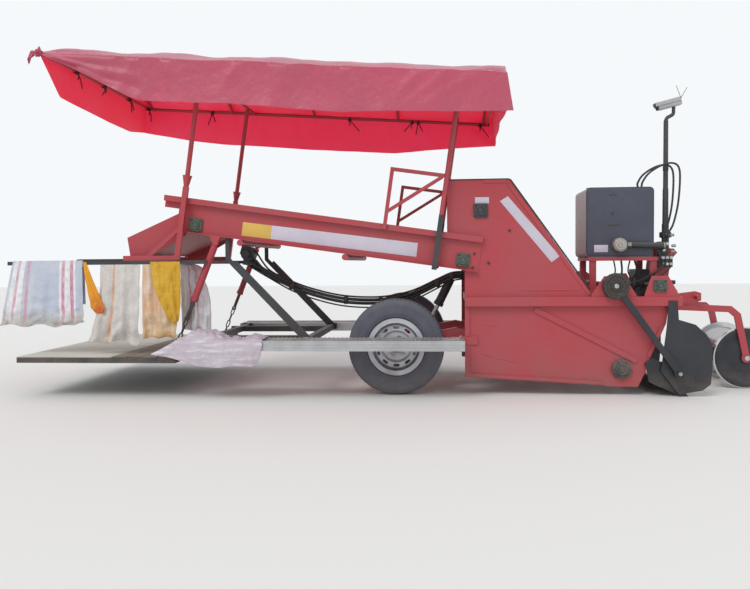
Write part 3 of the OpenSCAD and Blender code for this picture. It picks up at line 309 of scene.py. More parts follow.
def plainBox(low, high):
    # The start of a plate, bar or housing, between two corners
    bpy.ops.mesh.primitive_cube_add(size=1, location=[(a + b) / 2 for a, b in zip(low, high)])
    piece = bpy.context.object
    piece.scale = [b - a for a, b in zip(low, high)]
    bpy.ops.object.transform_apply(location=True, rotation=True, scale=True)
    return piece


def plainRound(sides, radius, depth, middle=(0, 0, 0)):
    bpy.ops.mesh.primitive_cylinder_add(vertices=sides, radius=radius, depth=depth, location=middle)
    return bpy.context.object


def spun(name, profile, steps):
    # The profile (radius, height), turned about its own Z
    mesh = bpy.data.meshes.new(name)
    mesh.from_pydata([(r, 0, z) for r, z in profile], [(i, i + 1) for i in range(len(profile) - 1)], [])
    piece = addObject(name, mesh)
    editing(piece, "VERT", every=True)
    bpy.ops.mesh.spin(steps=steps, angle=2 * math.pi, center=(0, 0, 0), axis=(0, 0, 1))
    return weld(piece, 0.00002)


def joined(pieces):
    takeUp(pieces[0])
    for piece in pieces[1:]:
        piece.select_set(True)
    if len(pieces) > 1:
        bpy.ops.object.join()
    return pieces[0]


def settle(piece, name, body, finish, slotName, smooth=35):
    takeUp(piece)
    bpy.ops.object.transform_apply(location=True, rotation=True, scale=True)
    piece.name = piece.data.name = name
    bpy.ops.object.shade_smooth_by_angle(angle=math.radians(smooth))
    if finish:
        dress(piece, finish)
    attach(piece, body)
    return piece


def repeat(pattern, name, body, finish, places, slotName, smooth=35):
    # Copies of one small modelled piece at each matrix, joined into one piece
    copies = [addObject(name, pattern.data.copy()) for _ in places]
    for copy, place in zip(copies, places):
        copy.matrix_world = place
    bpy.data.objects.remove(pattern)
    return settle(joined(copies), name, body, finish, slotName, smooth)


def turned(name, profile, places, body, finish, slotName, steps=48, smooth=35):
    # A turned part at each of its places
    return repeat(spun(name, profile, steps), name, body, finish, places, slotName, smooth)


def at(x, y, z, facing="-Y", turn=0.0):
    # Place of a pattern whose own +Z is its outer side
    angle, axis = {"-Y": (90, "X"), "+Y": (-90, "X"), "+Z": (0, "X"), "+X": (90, "Y")}[facing]
    return (Matrix.Translation((x + axleX, y, z)) @ Matrix.Rotation(math.radians(angle), 4, axis)
            @ Matrix.Rotation(turn, 4, "Z"))


def bothSides(x, y, z, turn=0.0):
    return [at(x, -y, z, "-Y", turn), at(x, y, z, "+Y", turn)]


def eased(points, steps=7):
    # Points of a smooth line through the given ones
    made = []
    for i in range(len(points) - 1):
        a, b = points[max(i - 1, 0)], points[i]
        c, d = points[i + 1], points[min(i + 2, len(points) - 1)]
        for k in range(steps):
            f = k / steps
            made.append(tuple(0.5 * (2 * b[n] + (c[n] - a[n]) * f + (2 * a[n] - 5 * b[n] + 4 * c[n] - d[n]) * f * f
                                     + (3 * b[n] - a[n] - 3 * c[n] + d[n]) * f ** 3) for n in range(3)))
    return made + [tuple(points[-1])]


def trimTube(name, points, radius, finish, slotName="black_paint", sides=8):
    # Rolled bead, hose or bent rod along given places, in station metres
    line = bpy.data.curves.new(name, "CURVE")
    line.dimensions = "3D"
    line.bevel_depth = radius
    line.bevel_resolution = max(1, sides // 4)
    line.use_fill_caps = True
    run = line.splines.new("POLY")
    run.points.add(len(points) - 1)
    for point, (x, y, z) in zip(run.points, points):
        point.co = (x + axleX, y, z, 1)
    takeUp(addObject(name, line))
    bpy.ops.object.convert(target="MESH")
    return settle(bpy.context.object, name, "chassis", finish, slotName, 40)


def clothSheet(name, across, along, point, cut, finishes):
    # A grid of cloth whose places come from point(u, v), with its own cut size in metres as UV
    shares = [(i / across, j / along) for j in range(along + 1) for i in range(across + 1)]
    rows = [[j * (across + 1) + i for i in range(across)] for j in range(along)]
    faces = [(a, a + 1, a + across + 2, a + across + 1) for row in rows for a in row]
    mesh = bpy.data.meshes.new(name)
    mesh.from_pydata([point(u, v) for u, v in shares], [], faces)
    flat = mesh.uv_layers.new(name="cut")
    for loop in mesh.loops:
        flat.data[loop.index].uv = cut(*shares[loop.vertex_index])
    for finish in finishes:
        mesh.materials.append(finish)
    return addObject(name, mesh)


def thicken(piece, thickness, secondFinishInside=False):
    # Gives the cloth its wall; when asked, its second finish shows inside, which on the canopy is the inside's
    # painted glow
    takeUp(piece)
    wall = piece.modifiers.new("wall", "SOLIDIFY")
    wall.thickness = thickness
    wall.offset = 0
    if secondFinishInside:
        wall.material_offset = 1
        wall.material_offset_rim = 0
    bpy.ops.object.modifier_apply(modifier=wall.name)


def clothFinish(name, look):
    # Woven cloth: threads from the cut's own UV, creases and dust from noise, sheen from its fibres
    made, tree, shader = newMaterial(
        name, Sheen_Weight=0.15, Roughness=look.get("roughness", 0.7),
        Subsurface_Weight=look.get("through", 0.0),  # daylight that comes through
        Subsurface_Radius=look.get("throughColour", (1.0, 0.9, 0.85)),
        Subsurface_Scale=look.get("throughDepth", 0.008))
    coords = addNode(tree, "TexCoord").outputs
    place = coords["Object"]
    cut = addNode(tree, "SeparateXYZ", {"Vector": coords["UV"]}).outputs
    patches = spread(tree, place, look.get("patch", 0.3), 0.35, 0.7)
    colour = coat(tree, linear(look["base"]), linear(look["faded"]), patches)
    for start, wide, stripeColour in look.get("stripes", []):
        away = addNode(tree, "Math", {0: cut["X"], 1: start + wide / 2}, operation="SUBTRACT").outputs["Value"]
        off = addNode(tree, "Math", {0: away}, operation="ABSOLUTE").outputs["Value"]
        inside = addNode(tree, "MapRange", {"Value": off, "From Min": wide / 2 + 0.002,
                                            "From Max": wide / 2 - 0.002}).outputs["Result"]
        colour = coat(tree, colour, linear(stripeColour), inside, spread(tree, place, 0.05, 0.1, 0.6))
    if "lowHem" in look:
        start, full, hemColour = look["lowHem"]
        near = addNode(tree, "MapRange", {"Value": cut["Y"], "From Min": start,
                                          "From Max": full}).outputs["Result"]
        colour = coat(tree, colour, linear(hemColour), near, spread(tree, place, 0.05, 0.25, 0.6, 4.0))
    # streaks: the cloth's own coloured streaks, and on the lilac and yellow nets painted highlights and shade
    for size, stretch, share, streakColour in look.get("streaks", []):
        streak = spread(tree, place, size, 0.48, 0.66, 3.0, stretch)
        colour = coat(tree, colour, linear(streakColour), streak, share)
    grit = spread(tree, place, 0.02, 0.4, 0.75, 6.0)
    colour = coat(tree, colour, linear(look["dust"]), grit, look.get("dustShare", 0.3))
    waves = []
    for turn in (0, 90):
        threads = addNode(tree, "Mapping", {"Vector": coords["UV"], "Rotation": (0, 0, math.radians(turn))})
        # thread spacing in metres, drawn coarser than the real one so that it shows
        waves.append(addNode(tree, "TexWave", {"Vector": threads.outputs["Vector"], "Distortion": 0.4,
                                               "Scale": 1 / (math.pi * look["thread"])}).outputs["Fac"])
    weave = addNode(tree, "Math", {0: waves[0], 1: waves[1]}, operation="MULTIPLY").outputs["Value"]
    colour = coat(tree, colour, linear(look["weave"]), weave, look.get("weaveShare", 0.12))
    tree.links.new(colour, shader.inputs["Base Color"])
    crumple = spread(tree, place, look["crumpleSize"], 0.25, 0.75, 4.0)
    fine = addNode(tree, "Bump", {"Height": weave, "Strength": 0.12, "Distance": 0.001})
    bump = addNode(tree, "Bump", {"Height": crumple, "Normal": fine.outputs["Normal"], "Strength": look["crumple"],
                                  "Distance": 0.012})
    tree.links.new(bump.outputs["Normal"], shader.inputs["Normal"])
    return made


# Coated tarpaulin cloth: chalky and dusty outside
canopyOutside = clothFinish("coatedTarpaulinOutside", {
    "base": "#bd4560", "faded": "#b04b60", "dust": "#bd7486", "weave": "#a83550", "roughness": 0.42,
    "patch": 0.5, "dustShare": 0.2, "crumple": 0.6, "crumpleSize": 0.16, "thread": 0.008})
# The same cloth from inside, its colours painted brighter and more saturated than outside: a painted glow for the
# daylight that comes through it, on top of the real light through its subsurface
canopyInsideGlow = clothFinish("coatedTarpaulinInsidePaintedGlow", {
    "base": "#ff5672", "faded": "#ff4f6b", "dust": "#f85c78", "weave": "#f23c58", "roughness": 0.6,
    "patch": 0.5, "dustShare": 0.12, "crumple": 0.3, "crumpleSize": 0.12, "thread": 0.008,
    "through": 1.0, "throughColour": (1.0, 0.18, 0.24), "throughDepth": 0.034})

canopy = {
    "station": 0.843, "height": 2.411, "slope": 3.93, "length": 3.524, "half": 1.106, "crown": 0.226,
    "bows": (-3.453, -2.609, -1.765, -0.921, -0.077), "sag": 0.016,
    "nearFlap": ((-3.524, 0.004), (-3.30, 0.085), (-3.05, 0.190), (-2.82, 0.292), (-2.728, 0.322), (-2.535, 0.321),
                 (-2.09, 0.313), (-1.65, 0.328), (-1.224, 0.337), (-0.125, 0.283), (0, 0.276)),
    "farFlap": ((-3.524, 0.25), (-3.058, 0.307), (-2.708, 0.325), (-1.518, 0.337), (-0.927, 0.328), (0, 0.212)),
    # Depth of the end flaps over the share of the arch from the right rail to the left one
    "rearFlap": ((0, 0.004), (0.176, 0.255), (0.40, 0.276), (0.60, 0.292), (0.83, 0.298), (1, 0.25)),
    "frontFlap": ((0, 0.276), (0.12, 0.215), (0.35, 0.165), (0.6, 0.155), (0.85, 0.180), (1, 0.212)),
    "frontFlare": 0.062, "cloth": 0.0025, "area": 12.0,
    # How much longer and wider the flat sheet is than the roof, for its flaps
    "flapWide": 0.6, "flapLong": 1.0,
    # Creases: where they start on the rail, how they slant with depth, how high they stand
    "creases": ((-3.02, 0.55, 0.020), (-2.78, -0.50, 0.016), (-2.55, 0.30, 0.012), (-1.98, -0.62, 0.018),
                (-1.72, 0.42, 0.012), (-1.20, 0.75, 0.010), (-0.62, -0.80, 0.014), (-0.42, -1.15, 0.016),
                (-0.20, -1.6, 0.014)),
    # Tied corners: station, side, reach of their folds, number of folds, phase
    "corners": ((-3.524, -1, 0.55, 9, 0.4), (0.0, -1, 0.34, 11, 1.9), (0.0, 1, 0.34, 10, 0.8),
                (-3.524, 1, 0.40, 8, 2.6)),
    "gather": 0.80}  # rear stretch of the right flap that is drawn up to its corner
canopyTurn = math.radians(canopy["slope"])
roofRadius = (canopy["half"] ** 2 + canopy["crown"] ** 2) / (2 * canopy["crown"])
roofHalf = math.asin(canopy["half"] / roofRadius) * roofRadius  # from ridge to rail along the cloth
# the outside cloth, and the inside with its painted glow
roofFinishes = [canopyOutside, canopyInsideGlow]
clothSmooth = 60  # cloth is shaded smooth up to this angle in degrees


def canopyPlace(x, y, z):
    # A place on the roof, counted along its slope from its front end
    return Vector((canopy["station"] + axleX + x * math.cos(canopyTurn) + z * math.sin(canopyTurn), y,
                   canopy["height"] - x * math.sin(canopyTurn) + z * math.cos(canopyTurn)))


def stepped(table, x):
    # A table's second value at x, along straight lines
    for (xa, a), (xb, b) in zip(table, table[1:]):
        if x <= xb:
            return a + (b - a) * max(0.0, (x - xa) / (xb - xa))
    return table[-1][1]


def roofSag(x, s):
    # Cloth sinks a little between the bows and is drawn over them
    for a, b in zip(canopy["bows"], canopy["bows"][1:]):
        if a <= x <= b:
            edge = 1 - abs(s) / roofHalf
            return canopy["sag"] * math.sin(math.pi * (x - a) / (b - a)) ** 2 * min(1, edge * 3)
    return 0.0


def wrinkle(x, s, size, height):
    return height * noise.noise(Vector((x / size, s / size * 0.6, 3.7)))


def gathering(x, s):
    # Creases that fan out from the corners where the cloth is tied, as a lift of the cloth
    lift = 0.0
    for corner, side, reach, count, seed in canopy["corners"]:
        dx, ds = abs(x - corner), abs(s - side * roofHalf)
        far = math.hypot(dx, ds)
        if 0.001 < far < reach:
            fan = math.sin(count * math.atan2(ds, dx) * 2 + seed)
            lift += 0.009 * fan * math.sin(math.pi * far / reach)
    return lift


def roofPoint(x, s):
    turn = s / roofRadius
    lift = wrinkle(x, s, 0.16, 0.010) + wrinkle(x + 5, s * 2.2, 0.42, 0.012) + gathering(x, s)
    r = roofRadius - roofSag(x, s) + min(lift, 0.006)
    return canopyPlace(x, r * math.sin(turn), canopy["crown"] - roofRadius + r * math.cos(turn))


def canopyCrease(x, depth, side):
    # Single sharp folds that slant down the flaps from where the cloth is pulled
    lift = 0.0
    for start, slant, height in canopy["creases"]:
        away = (x - start - slant * depth * (1 if side < 0 else -0.7)) / 0.045
        lift += height * math.exp(-abs(away) ** 1.5) * min(1, depth / 0.05) * math.exp(-depth / 0.22)
    return lift


def flapPoint(x, side, depth, limit):
    # Side flap: hangs from the rail, stands out a little at its foot and waves with the tie points
    share = depth / max(limit, 0.01)
    pull = canopyCrease(x, depth, side)
    wave = 0.006 * math.sin(x * 5 + side) + 0.003 * math.sin(x * 17 + 1.3 * side) + wrinkle(x, depth, 0.14, 0.010)
    out = canopy["half"] + 0.018 * share * share + wave * min(1, depth / 0.12) * share + pull
    drawn = max(0.0, 1 - (x + canopy["length"]) / canopy["gather"]) if side < 0 else 0.0
    if drawn > 0:
        # the drawn-up corner folds along lines that run to the tie
        along = math.hypot(x + canopy["length"], depth)
        angle = math.atan2(depth, x + canopy["length"] + 0.001)
        out += 0.014 * math.sin(angle * 34 + 2 * along) * min(1, along / 0.25) * share
        out += 0.012 * drawn * math.sin(depth * 60)
    hem = 0.002 * math.sin(x * 7 + side * 2) * share if limit > 0.2 else 0.0
    return canopyPlace(x, side * out, -depth - hem)


def flapForward(x, share):
    # The front stretch of the side flaps flares forward with the front flap's foot
    return canopy["frontFlare"] * share * max(0.0, 1 + x / 0.30) ** 2


def canopySheet():
    columns, rows = 72, 10

    def point(u, v):
        x = -canopy["length"] * (1 - v)
        flapShare = rows / (columns + 2 * rows)
        if u < flapShare or u > 1 - flapShare:
            near = u < flapShare
            share = (1 - u / flapShare) if near else (1 - (1 - u) / flapShare)
            limit = stepped(canopy["nearFlap" if near else "farFlap"], x)
            place = flapPoint(x, -1 if near else 1, share * limit, limit)
            place.x += flapForward(x, share)
            return place
        s = ((u - flapShare) / (1 - 2 * flapShare) * 2 - 1) * roofHalf
        return roofPoint(x, s)

    def cut(u, v):
        return (u * (2 * roofHalf + canopy["flapWide"]), v * canopy["length"])

    return clothSheet("canopySheet", columns + 2 * rows, 170, point, cut, roofFinishes)


def endFlap(front):
    # Flap sewn to the roof's end, from its arch down to its lower edge
    x = 0.0 if front else -canopy["length"]
    table = canopy["frontFlap" if front else "rearFlap"]

    def point(u, v):
        top = roofPoint(x, (u * 2 - 1) * roofHalf)
        edge = min(1, min(u, 1 - u) * 12)  # nothing waves at the seams with the side flaps
        hem = 0.003 * edge * math.sin(u * 17 + (0.7 if front else 2.1))
        low = canopyPlace(x, top.y, -stepped(table, u) - hem)
        made = top.lerp(low, v)
        wave = 0.009 * v * math.sin(u * 19 + (1 if front else 4)) * edge
        if u < 0.001 or u > 0.999:
            limit = stepped(canopy["nearFlap" if u < 0.5 else "farFlap"], x)
            made = flapPoint(x, -1 if u < 0.5 else 1, v * limit, limit)
            made.x += flapForward(x, v)
            return made
        if front:
            flat = 1 - (u * 2 - 1) ** 2
            made.x += canopy["frontFlare"] * v * (1 - 0.35 * flat) + 0.6 * wave
        else:
            made.x -= 0.012 * v * v * edge + 0.6 * wave
        return made

    def cut(u, v):
        return (u * 2 * roofHalf, v * 0.5)

    piece = clothSheet("endFlap", 72, 10, point, cut, roofFinishes)
    if front:
        editing(piece, every=True)
        bpy.ops.mesh.flip_normals()
        finishEditing()
    return piece


def cornerTail():
    # The cloth left over at the right rear corner, twisted, knotted and hanging loose behind it
    root = canopyPlace(-canopy["length"] + 0.02, -1.104, 0.006)
    bends = (Vector((0, 0, 0)), Vector((-0.035, -0.006, 0.006)), Vector((-0.075, -0.010, -0.006)),
             Vector((-0.110, -0.004, -0.040)))

    def point(u, v):
        step = min(int(v * 3), 2)
        middle = root + bends[step].lerp(bends[step + 1], v * 3 - step)
        radius = 0.010 + 0.017 * math.exp(-((v - 0.30) / 0.13) ** 2) + 0.022 * max(0, v - 0.55)
        angle = 2 * math.pi * u
        folds = 1 + 0.34 * math.sin(4 * angle + 7 * v) + 0.22 * math.sin(7 * angle - 9 * v)
        folds += 0.5 * noise.noise(Vector((math.cos(angle) * 1.6, math.sin(angle) * 1.6, v * 7)))
        flat = 1.5 if v > 0.6 else 1.0
        return middle + Vector((0.25 * radius * math.sin(angle), radius * folds * math.cos(angle) / flat,
                                radius * folds * math.sin(angle) * flat))

    return clothSheet("cornerTail", 40, 36, point, lambda u, v: (u, v), roofFinishes)


def makeCanopy():
    roof = weld(joined([canopySheet(), endFlap(False), endFlap(True), cornerTail()]), 0.004)
    thicken(roof, canopy["cloth"], secondFinishInside=True)
    settle(roof, "canopyCloth", "chassis", None, "canopy_cloth", clothSmooth)
    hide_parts("canopy_cover")


makeCanopy()
print("canopy cloth made")


def tableAt(table, t, column):
    # A column of a table of rows at t, along straight lines
    for a, b in zip(table, table[1:]):
        if t <= b[0]:
            share = (t - a[0]) / (b[0] - a[0])
            return a[column] + (b[column] - a[column]) * share
    return table[-1][column]


rackSide = -0.757  # outer side of the rack's rail, which the bags don't enter
bagWall, bagMerge = 0.0014, 0.0008  # the cloth's thickness, and how near its two layers' edges are sewn together


def hangingBag(name, look, finish, slotName, node):
    # A flattened bag hung by its mouth: two layers that share their folds and spread at the foot
    edges, top, thick = look["edges"], look["top"], look["thick"]
    depth, seed = look["drop"], look["seed"]

    def point(u, v):
        front = u <= 0.5
        a = u * 2 if front else 2 - u * 2
        left, right = tableAt(edges, v, 1), tableAt(edges, v, 2)
        x = left + (right - left) * a
        belly = 0.25 + 0.75 * math.sin(math.pi * min(1, v * 0.9 + 0.05))
        swell = thick * math.sqrt(max(0.0, 4 * a * (1 - a))) * belly
        if v > 0.985:
            swell *= 0.15
        fold = look["fold"] * (0.25 + 0.75 * v) * (
            math.sin(2 * math.pi * look["folds"] * a + seed + 1.5 * v)
            + 0.45 * math.sin(2 * math.pi * look["folds"] * 2.3 * a + 2.1 * seed - 3 * v))
        crumple = noise.noise(Vector((x / 0.055, v * depth / 0.09, seed))) * look["crumple"] * (0.3 + 0.7 * v ** 2)
        out = look["out"] + fold + crumple + (-swell if front else swell)
        hem = look["hem"] * noise.noise(Vector((a * 3.1, seed, 0.5))) * v ** 3
        z = top - v * depth + hem
        x += 0.010 * v * noise.noise(Vector((a * 2.0, v * 6, seed + 4)))
        if "turned" in look:
            # hangs across the machine, its foot swung round its outer edge towards the front
            swing = math.radians(look["turned"]) * min(1, v * 1.5) ** 0.7
            across, deep = x - left, out - look["out"]
            return Vector((look["out"] + deep * math.cos(swing) + across * math.sin(swing) + axleX,
                           left + across * math.cos(swing) - deep * math.sin(swing), z))
        return Vector((x + axleX, min(out, look.get("inner", rackSide)), z))

    wide = max(e[2] - e[1] for e in edges)

    def cut(u, v):
        return ((u * 2 if u <= 0.5 else 2 - u * 2) * wide, v * depth)

    piece = weld(clothSheet(name, 88, 56, point, cut, [finish]), bagMerge)
    thicken(piece, bagWall)
    settle(piece, name, "chassis", None, slotName, clothSmooth)
    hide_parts(node)
    mean = sum(e[2] - e[1] for e in edges) / len(edges)
    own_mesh(piece)


# Woven strip sack: milky plastic thread with an orange warp stripe
paleCloth = clothFinish("milkyStripWeave", {
    "base": "#dcd6cf", "faded": "#cfc6c0", "dust": "#b7a69a", "weave": "#f0ece6", "dustShare": 0.3,
    "stripes": [(0.142, 0.022, "#e0a070")], "crumple": 0.5, "crumpleSize": 0.04, "thread": 0.005,
    "through": 0.3, "throughColour": (1.0, 0.92, 0.85)})
# The same weave, cleaner: white, with two faint red stripes
whiteCloth = clothFinish("whiteStripWeave", {
    "base": "#f4f2f3", "faded": "#eeeaec", "dust": "#d8cec9", "weave": "#fbfaf8", "dustShare": 0.15,
    "stripes": [(0.095, 0.030, "#d08a90"), (0.190, 0.022, "#dba3a8")], "crumple": 0.5, "crumpleSize": 0.04,
    "thread": 0.005, "through": 0.5, "throughColour": (1.0, 0.95, 0.9)})
# Knitted raschel net: open peach mesh over a pale lining
peachNet = clothFinish("peachKnittedNet", {
    "base": "#d5af88", "faded": "#dccaae", "lowHem": (0.40, 0.62, "#cfa860"), "dust": "#c9ae92",
    "weave": "#c98a5c", "weaveShare": 0.30,
    "streaks": [(0.10, (2.2, 1, 0.45), 0.5, "#d9866e"), (0.07, (2.5, 1, 0.4), 0.4, "#efe6da")],
    "crumple": 0.6, "crumpleSize": 0.05, "thread": 0.007})
# Yellow net: strong colour with darker streaks: painted shade, as in its crumples
yellowNet = clothFinish("yellowKnittedNet", {
    "base": "#d9a514", "faded": "#dfb63c", "dust": "#bd9136", "weave": "#b47c10", "weaveShare": 0.3,
    "streaks": [(0.05, (2.4, 1, 0.5), 0.5, "#b5820f")], "crumple": 0.9, "crumpleSize": 0.05, "thread": 0.007})
# Orange net: bright, its foot soiled to a rusty red
orangeNet = clothFinish("orangeKnittedNet", {
    "base": "#ec9a10", "faded": "#f0ac2a", "dust": "#c9781c", "weave": "#c4660c", "weaveShare": 0.3,
    "lowHem": (0.250, 0.360, "#c2501c"), "crumple": 0.6, "crumpleSize": 0.04, "thread": 0.007})
# Lilac net: pale, with lighter and greyer bands as on its folds: painted highlights and painted shade
lilacNet = clothFinish("lilacKnittedNet", {
    "base": "#c9bfcb", "faded": "#b9adb9", "dust": "#a3968f", "weave": "#e6dfe8", "weaveShare": 0.3,
    "streaks": [(0.06, (0.25, 1.6, 2.4), 0.55, "#f1edf3"), (0.09, (0.3, 1.5, 2.2), 0.35, "#a88f9b")],
    "crumple": 0.6, "crumpleSize": 0.05, "thread": 0.006})
# Striped strip weave: bluish white with pink warp stripes, grey at its hem
stripedCloth = clothFinish("stripedStripWeave", {
    "base": "#b4bed2", "faded": "#cacdd5", "dust": "#b9b2a6", "weave": "#eef0f6", "dustShare": 0.2,
    "lowHem": (0.780, 0.875, "#a99d8a"),
    "stripes": [(0.020, 0.090, "#f1eff0"), (0.395, 0.130, "#efecee"), (0.052, 0.020, "#cda0b0"),
                (0.130, 0.024, "#cf95a6"), (0.414, 0.026, "#c9809a"), (0.481, 0.026, "#c57c95")],
    "crumple": 0.4, "crumpleSize": 0.05, "thread": 0.005})

bagLooks = {
    "paleSack": {
        "edges": [(0, -2.371, -2.040), (0.35, -2.385, -2.047), (0.75, -2.435, -2.058), (0.93, -2.468, -2.062),
                  (1, -2.484, -2.066)],
        "top": 1.0440, "drop": 0.640, "out": -0.796, "thick": 0.018, "fold": 0.015, "folds": 2.4,
        "crumple": 0.034, "hem": 0.05, "seed": 1.3},
    "peachSack": {
        "edges": [(0, -2.023, -1.728), (0.5, -2.027, -1.738), (1, -2.028, -1.756)],
        "top": 1.0440, "drop": 0.600, "out": -0.794, "thick": 0.018, "fold": 0.014, "folds": 1.9,
        "crumple": 0.028, "hem": 0.04, "seed": 2.9},
    "whiteSack": {
        "edges": [(0, -0.690, -0.330), (0.25, -0.690, -0.465), (0.6, -0.690, -0.460), (1, -0.690, -0.455)],
        "top": 1.0440, "drop": 0.535, "out": -1.742, "thick": 0.014, "fold": 0.022, "folds": 2.6,
        "crumple": 0.034, "hem": 0.03, "seed": 5.2, "turned": 78, "fullness": 1.4},
    "orangeBag": {
        "edges": [(0, -2.500, -2.475), (0.35, -2.484, -2.420), (0.7, -2.458, -2.362), (0.89, -2.440, -2.330),
                  (1, -2.398, -2.335)],
        "top": 1.068, "drop": 0.413, "out": -0.826, "thick": 0.012, "fold": 0.004, "folds": 1.3,
        "crumple": 0.008, "hem": 0.0, "seed": 7.7, "inner": -0.810},
    "yellowBag": {
        "edges": [(0, -1.945, -1.705), (0.37, -1.925, -1.700), (0.72, -1.862, -1.704), (1, -1.775, -1.725)],
        "top": 1.066, "drop": 0.48, "out": -0.830, "thick": 0.014, "fold": 0.010, "folds": 1.9,
        "crumple": 0.018, "hem": 0.02, "seed": 9.1, "inner": -0.812}}
bagCloths = (
    ("paleSack", paleCloth, "sack_pale_cloth", "sacks_pale"),
    ("peachSack", peachNet, "sack_pale_cloth", "sacks_pale"),
    ("whiteSack", whiteCloth, "sack_pale_cloth", "sacks_pale"),
    ("orangeBag", orangeNet, "sack_bright_cloth", "sacks_bright"),
    ("yellowBag", yellowNet, "sack_bright_cloth", "sacks_bright"))
for name, finish, slotName, node in bagCloths:
    hangingBag(name, bagLooks[name], finish, slotName, node)

sackWall = 0.0016  # a single layer with its seams and fluff


def laidSack(name, look, grid, point, total, finish, body, slotName, node):
    # A flat sack whose places come from point(u, v), with its own cut size
    wide = look["front"] - look["rear"]
    piece = clothSheet(name, *grid, point, lambda u, v: (u * wide, v * total), [finish])
    thicken(piece, sackWall)
    settle(piece, name, body, None, slotName, clothSmooth)
    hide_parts(node)
    return piece


stripedSack = {"rear": -3.100, "front": -2.516, "rail": 0.780, "railTop": 1.0765, "half": 0.0165,
               "inner": 0.350, "outer": 0.500, "flare": 0.110}


def makeStripedSack():
    # A sack laid over the rail: short fall inside, long and ragged fall outside
    look = stripedSack
    over = 2 * look["half"] + 0.010
    total = look["inner"] + over + look["outer"]

    def point(u, v):
        s = v * total
        x = look["rear"] + (look["front"] - look["rear"]) * u
        if s < look["inner"]:
            fall, side = look["inner"] - s, 1
        elif s < look["inner"] + over:
            t = (s - look["inner"]) / over
            bow = 0.004 * math.sin(math.pi * t)
            return Vector((x + axleX, -look["rail"] + look["half"] * (1 - 2 * t), look["railTop"] + bow))
        else:
            fall, side = s - look["inner"] - over, -1
        share = min(1, fall / look["outer"])
        fold = 0.010 * share * (math.sin(u * 19 + 0.6) + 0.6 * math.sin(u * 41 + 2 * share))
        crumple = 0.034 * share ** 3 * noise.noise(Vector((x / 0.06, fall / 0.05, 2.2)))
        crumple += 0.016 * share ** 6 * noise.noise(Vector((x / 0.02, fall / 0.03, 6.1)))
        if side < 0:
            x -= look["flare"] * (1 - u) ** 2 * share
            hem = 0.040 * share ** 4 * noise.noise(Vector((u * 5, 1.1, 0.3))) - 0.03 * share * (1 - u) ** 2
            hem -= 0.022 * share ** 4 * math.sin(math.pi * u)
            belly = 0.006 + 0.014 * math.sin(math.pi * min(1, share * 1.1)) * (0.4 + 0.6 * math.sin(math.pi * u))
            y = -look["rail"] - look["half"] - max(0.001, belly * min(1, fall / 0.05) + fold + crumple)
            return Vector((x + axleX, y, look["railTop"] - fall + hem))
        y = -look["rail"] + look["half"] + max(0.001, 0.004 * min(1, fall / 0.05) + 0.5 * fold + 0.5 * crumple)
        return Vector((x + axleX, y, look["railTop"] - fall))

    piece = laidSack("stripedSack", look, (96, 120), point, total, stripedCloth, "chassis", "sack_striped_cloth",
                     "sack_striped")
    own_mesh(piece)


makeStripedSack()

plankSack = {"rear": -1.670, "front": -1.000, "inner": -0.792, "edge": -1.0725, "top": 0.4565, "drop": 0.190,
             "tip": 0.190}


def makePlankSack():
    # A limp sack that lies heaped on the plank and falls over its outer edge
    look = plankSack
    wide = look["inner"] - look["edge"]
    total = wide + look["drop"]

    def point(u, v):
        s = v * total
        x = look["rear"] + (look["front"] - look["rear"]) * u
        ragged = noise.noise(Vector((u * 5, v * 4, 8.3)))
        if s < wide:
            t = s / wide
            pile = 0.072 * math.exp(-((u - 0.29) / 0.20) ** 4) * math.sin(math.pi * t) ** 0.5
            pile += 0.034 * math.exp(-((u - 0.90) / 0.09) ** 2) * math.sin(math.pi * t) ** 0.5
            crumple = 0.026 * abs(noise.noise(Vector((x / 0.06, t * 3.5, 4.4)))) * math.sin(math.pi * t) ** 0.3
            crumple += 0.012 * abs(noise.noise(Vector((x / 0.02, t * 8, 1.7)))) * math.sin(math.pi * t) ** 0.3
            return Vector((x + axleX + 0.012 * ragged, look["inner"] - s, look["top"] + 0.0015 + pile + crumple))
        fall = s - wide
        share = fall / look["drop"]
        taper = min(1, u / 0.34) ** 0.8  # the rear corner is drawn out to a tip that hangs less
        fold = 0.011 * share * (math.sin(u * 23 + 1) + 0.5 * math.sin(u * 51))
        out = 0.003 + 0.012 * math.sin(math.pi * min(1, share * 0.9)) + max(0, fold)
        x -= look["tip"] * max(0, 1 - u / 0.45) ** 2 * share
        rounded = math.sqrt(max(0.0, 1 - max(0.0, (u - 0.86) / 0.14) ** 2))
        z = look["top"] - fall * (0.52 + 0.48 * taper) * (0.25 + 0.75 * rounded) + 0.018 * share * ragged
        x += 0.030 * share * max(0.0, (u - 0.86) / 0.14) * (1 - share)
        return Vector((x + axleX, look["edge"] - out, z))

    laidSack("plankSack", look, (110, 84), point, total, lilacNet, "plank_right", "sack_lilac_cloth",
             "sack_on_plank")


makePlankSack()
print("sacks made")


def sheetPatch(name, corners, y, finish, slotName):
    # Thin label whose outline is given in station and height, on a face that looks along -Y
    thick, softening = 0.0012, 0.0004
    bpy.ops.mesh.primitive_cube_add(size=1)
    piece = bpy.context.object
    order = {(False, True): 0, (True, True): 1, (True, False): 2, (False, False): 3}
    for vertex in piece.data.vertices:
        x, z = corners[order[vertex.co.x > 0, vertex.co.z > 0]]
        vertex.co = (x + axleX, y - (thick if vertex.co.y < 0 else 0.0), z)
    return settle(bevelled(piece, softening, 2), name, "chassis", finish, slotName)


# Shares of a bolt's size: washer's height, width over corners, then the head's chamfer and dish as (inset, move)
boltShape = {"washer": 0.12, "corners": 1.12, "top": ((0.09, 0.05), (0.12, -0.03))}


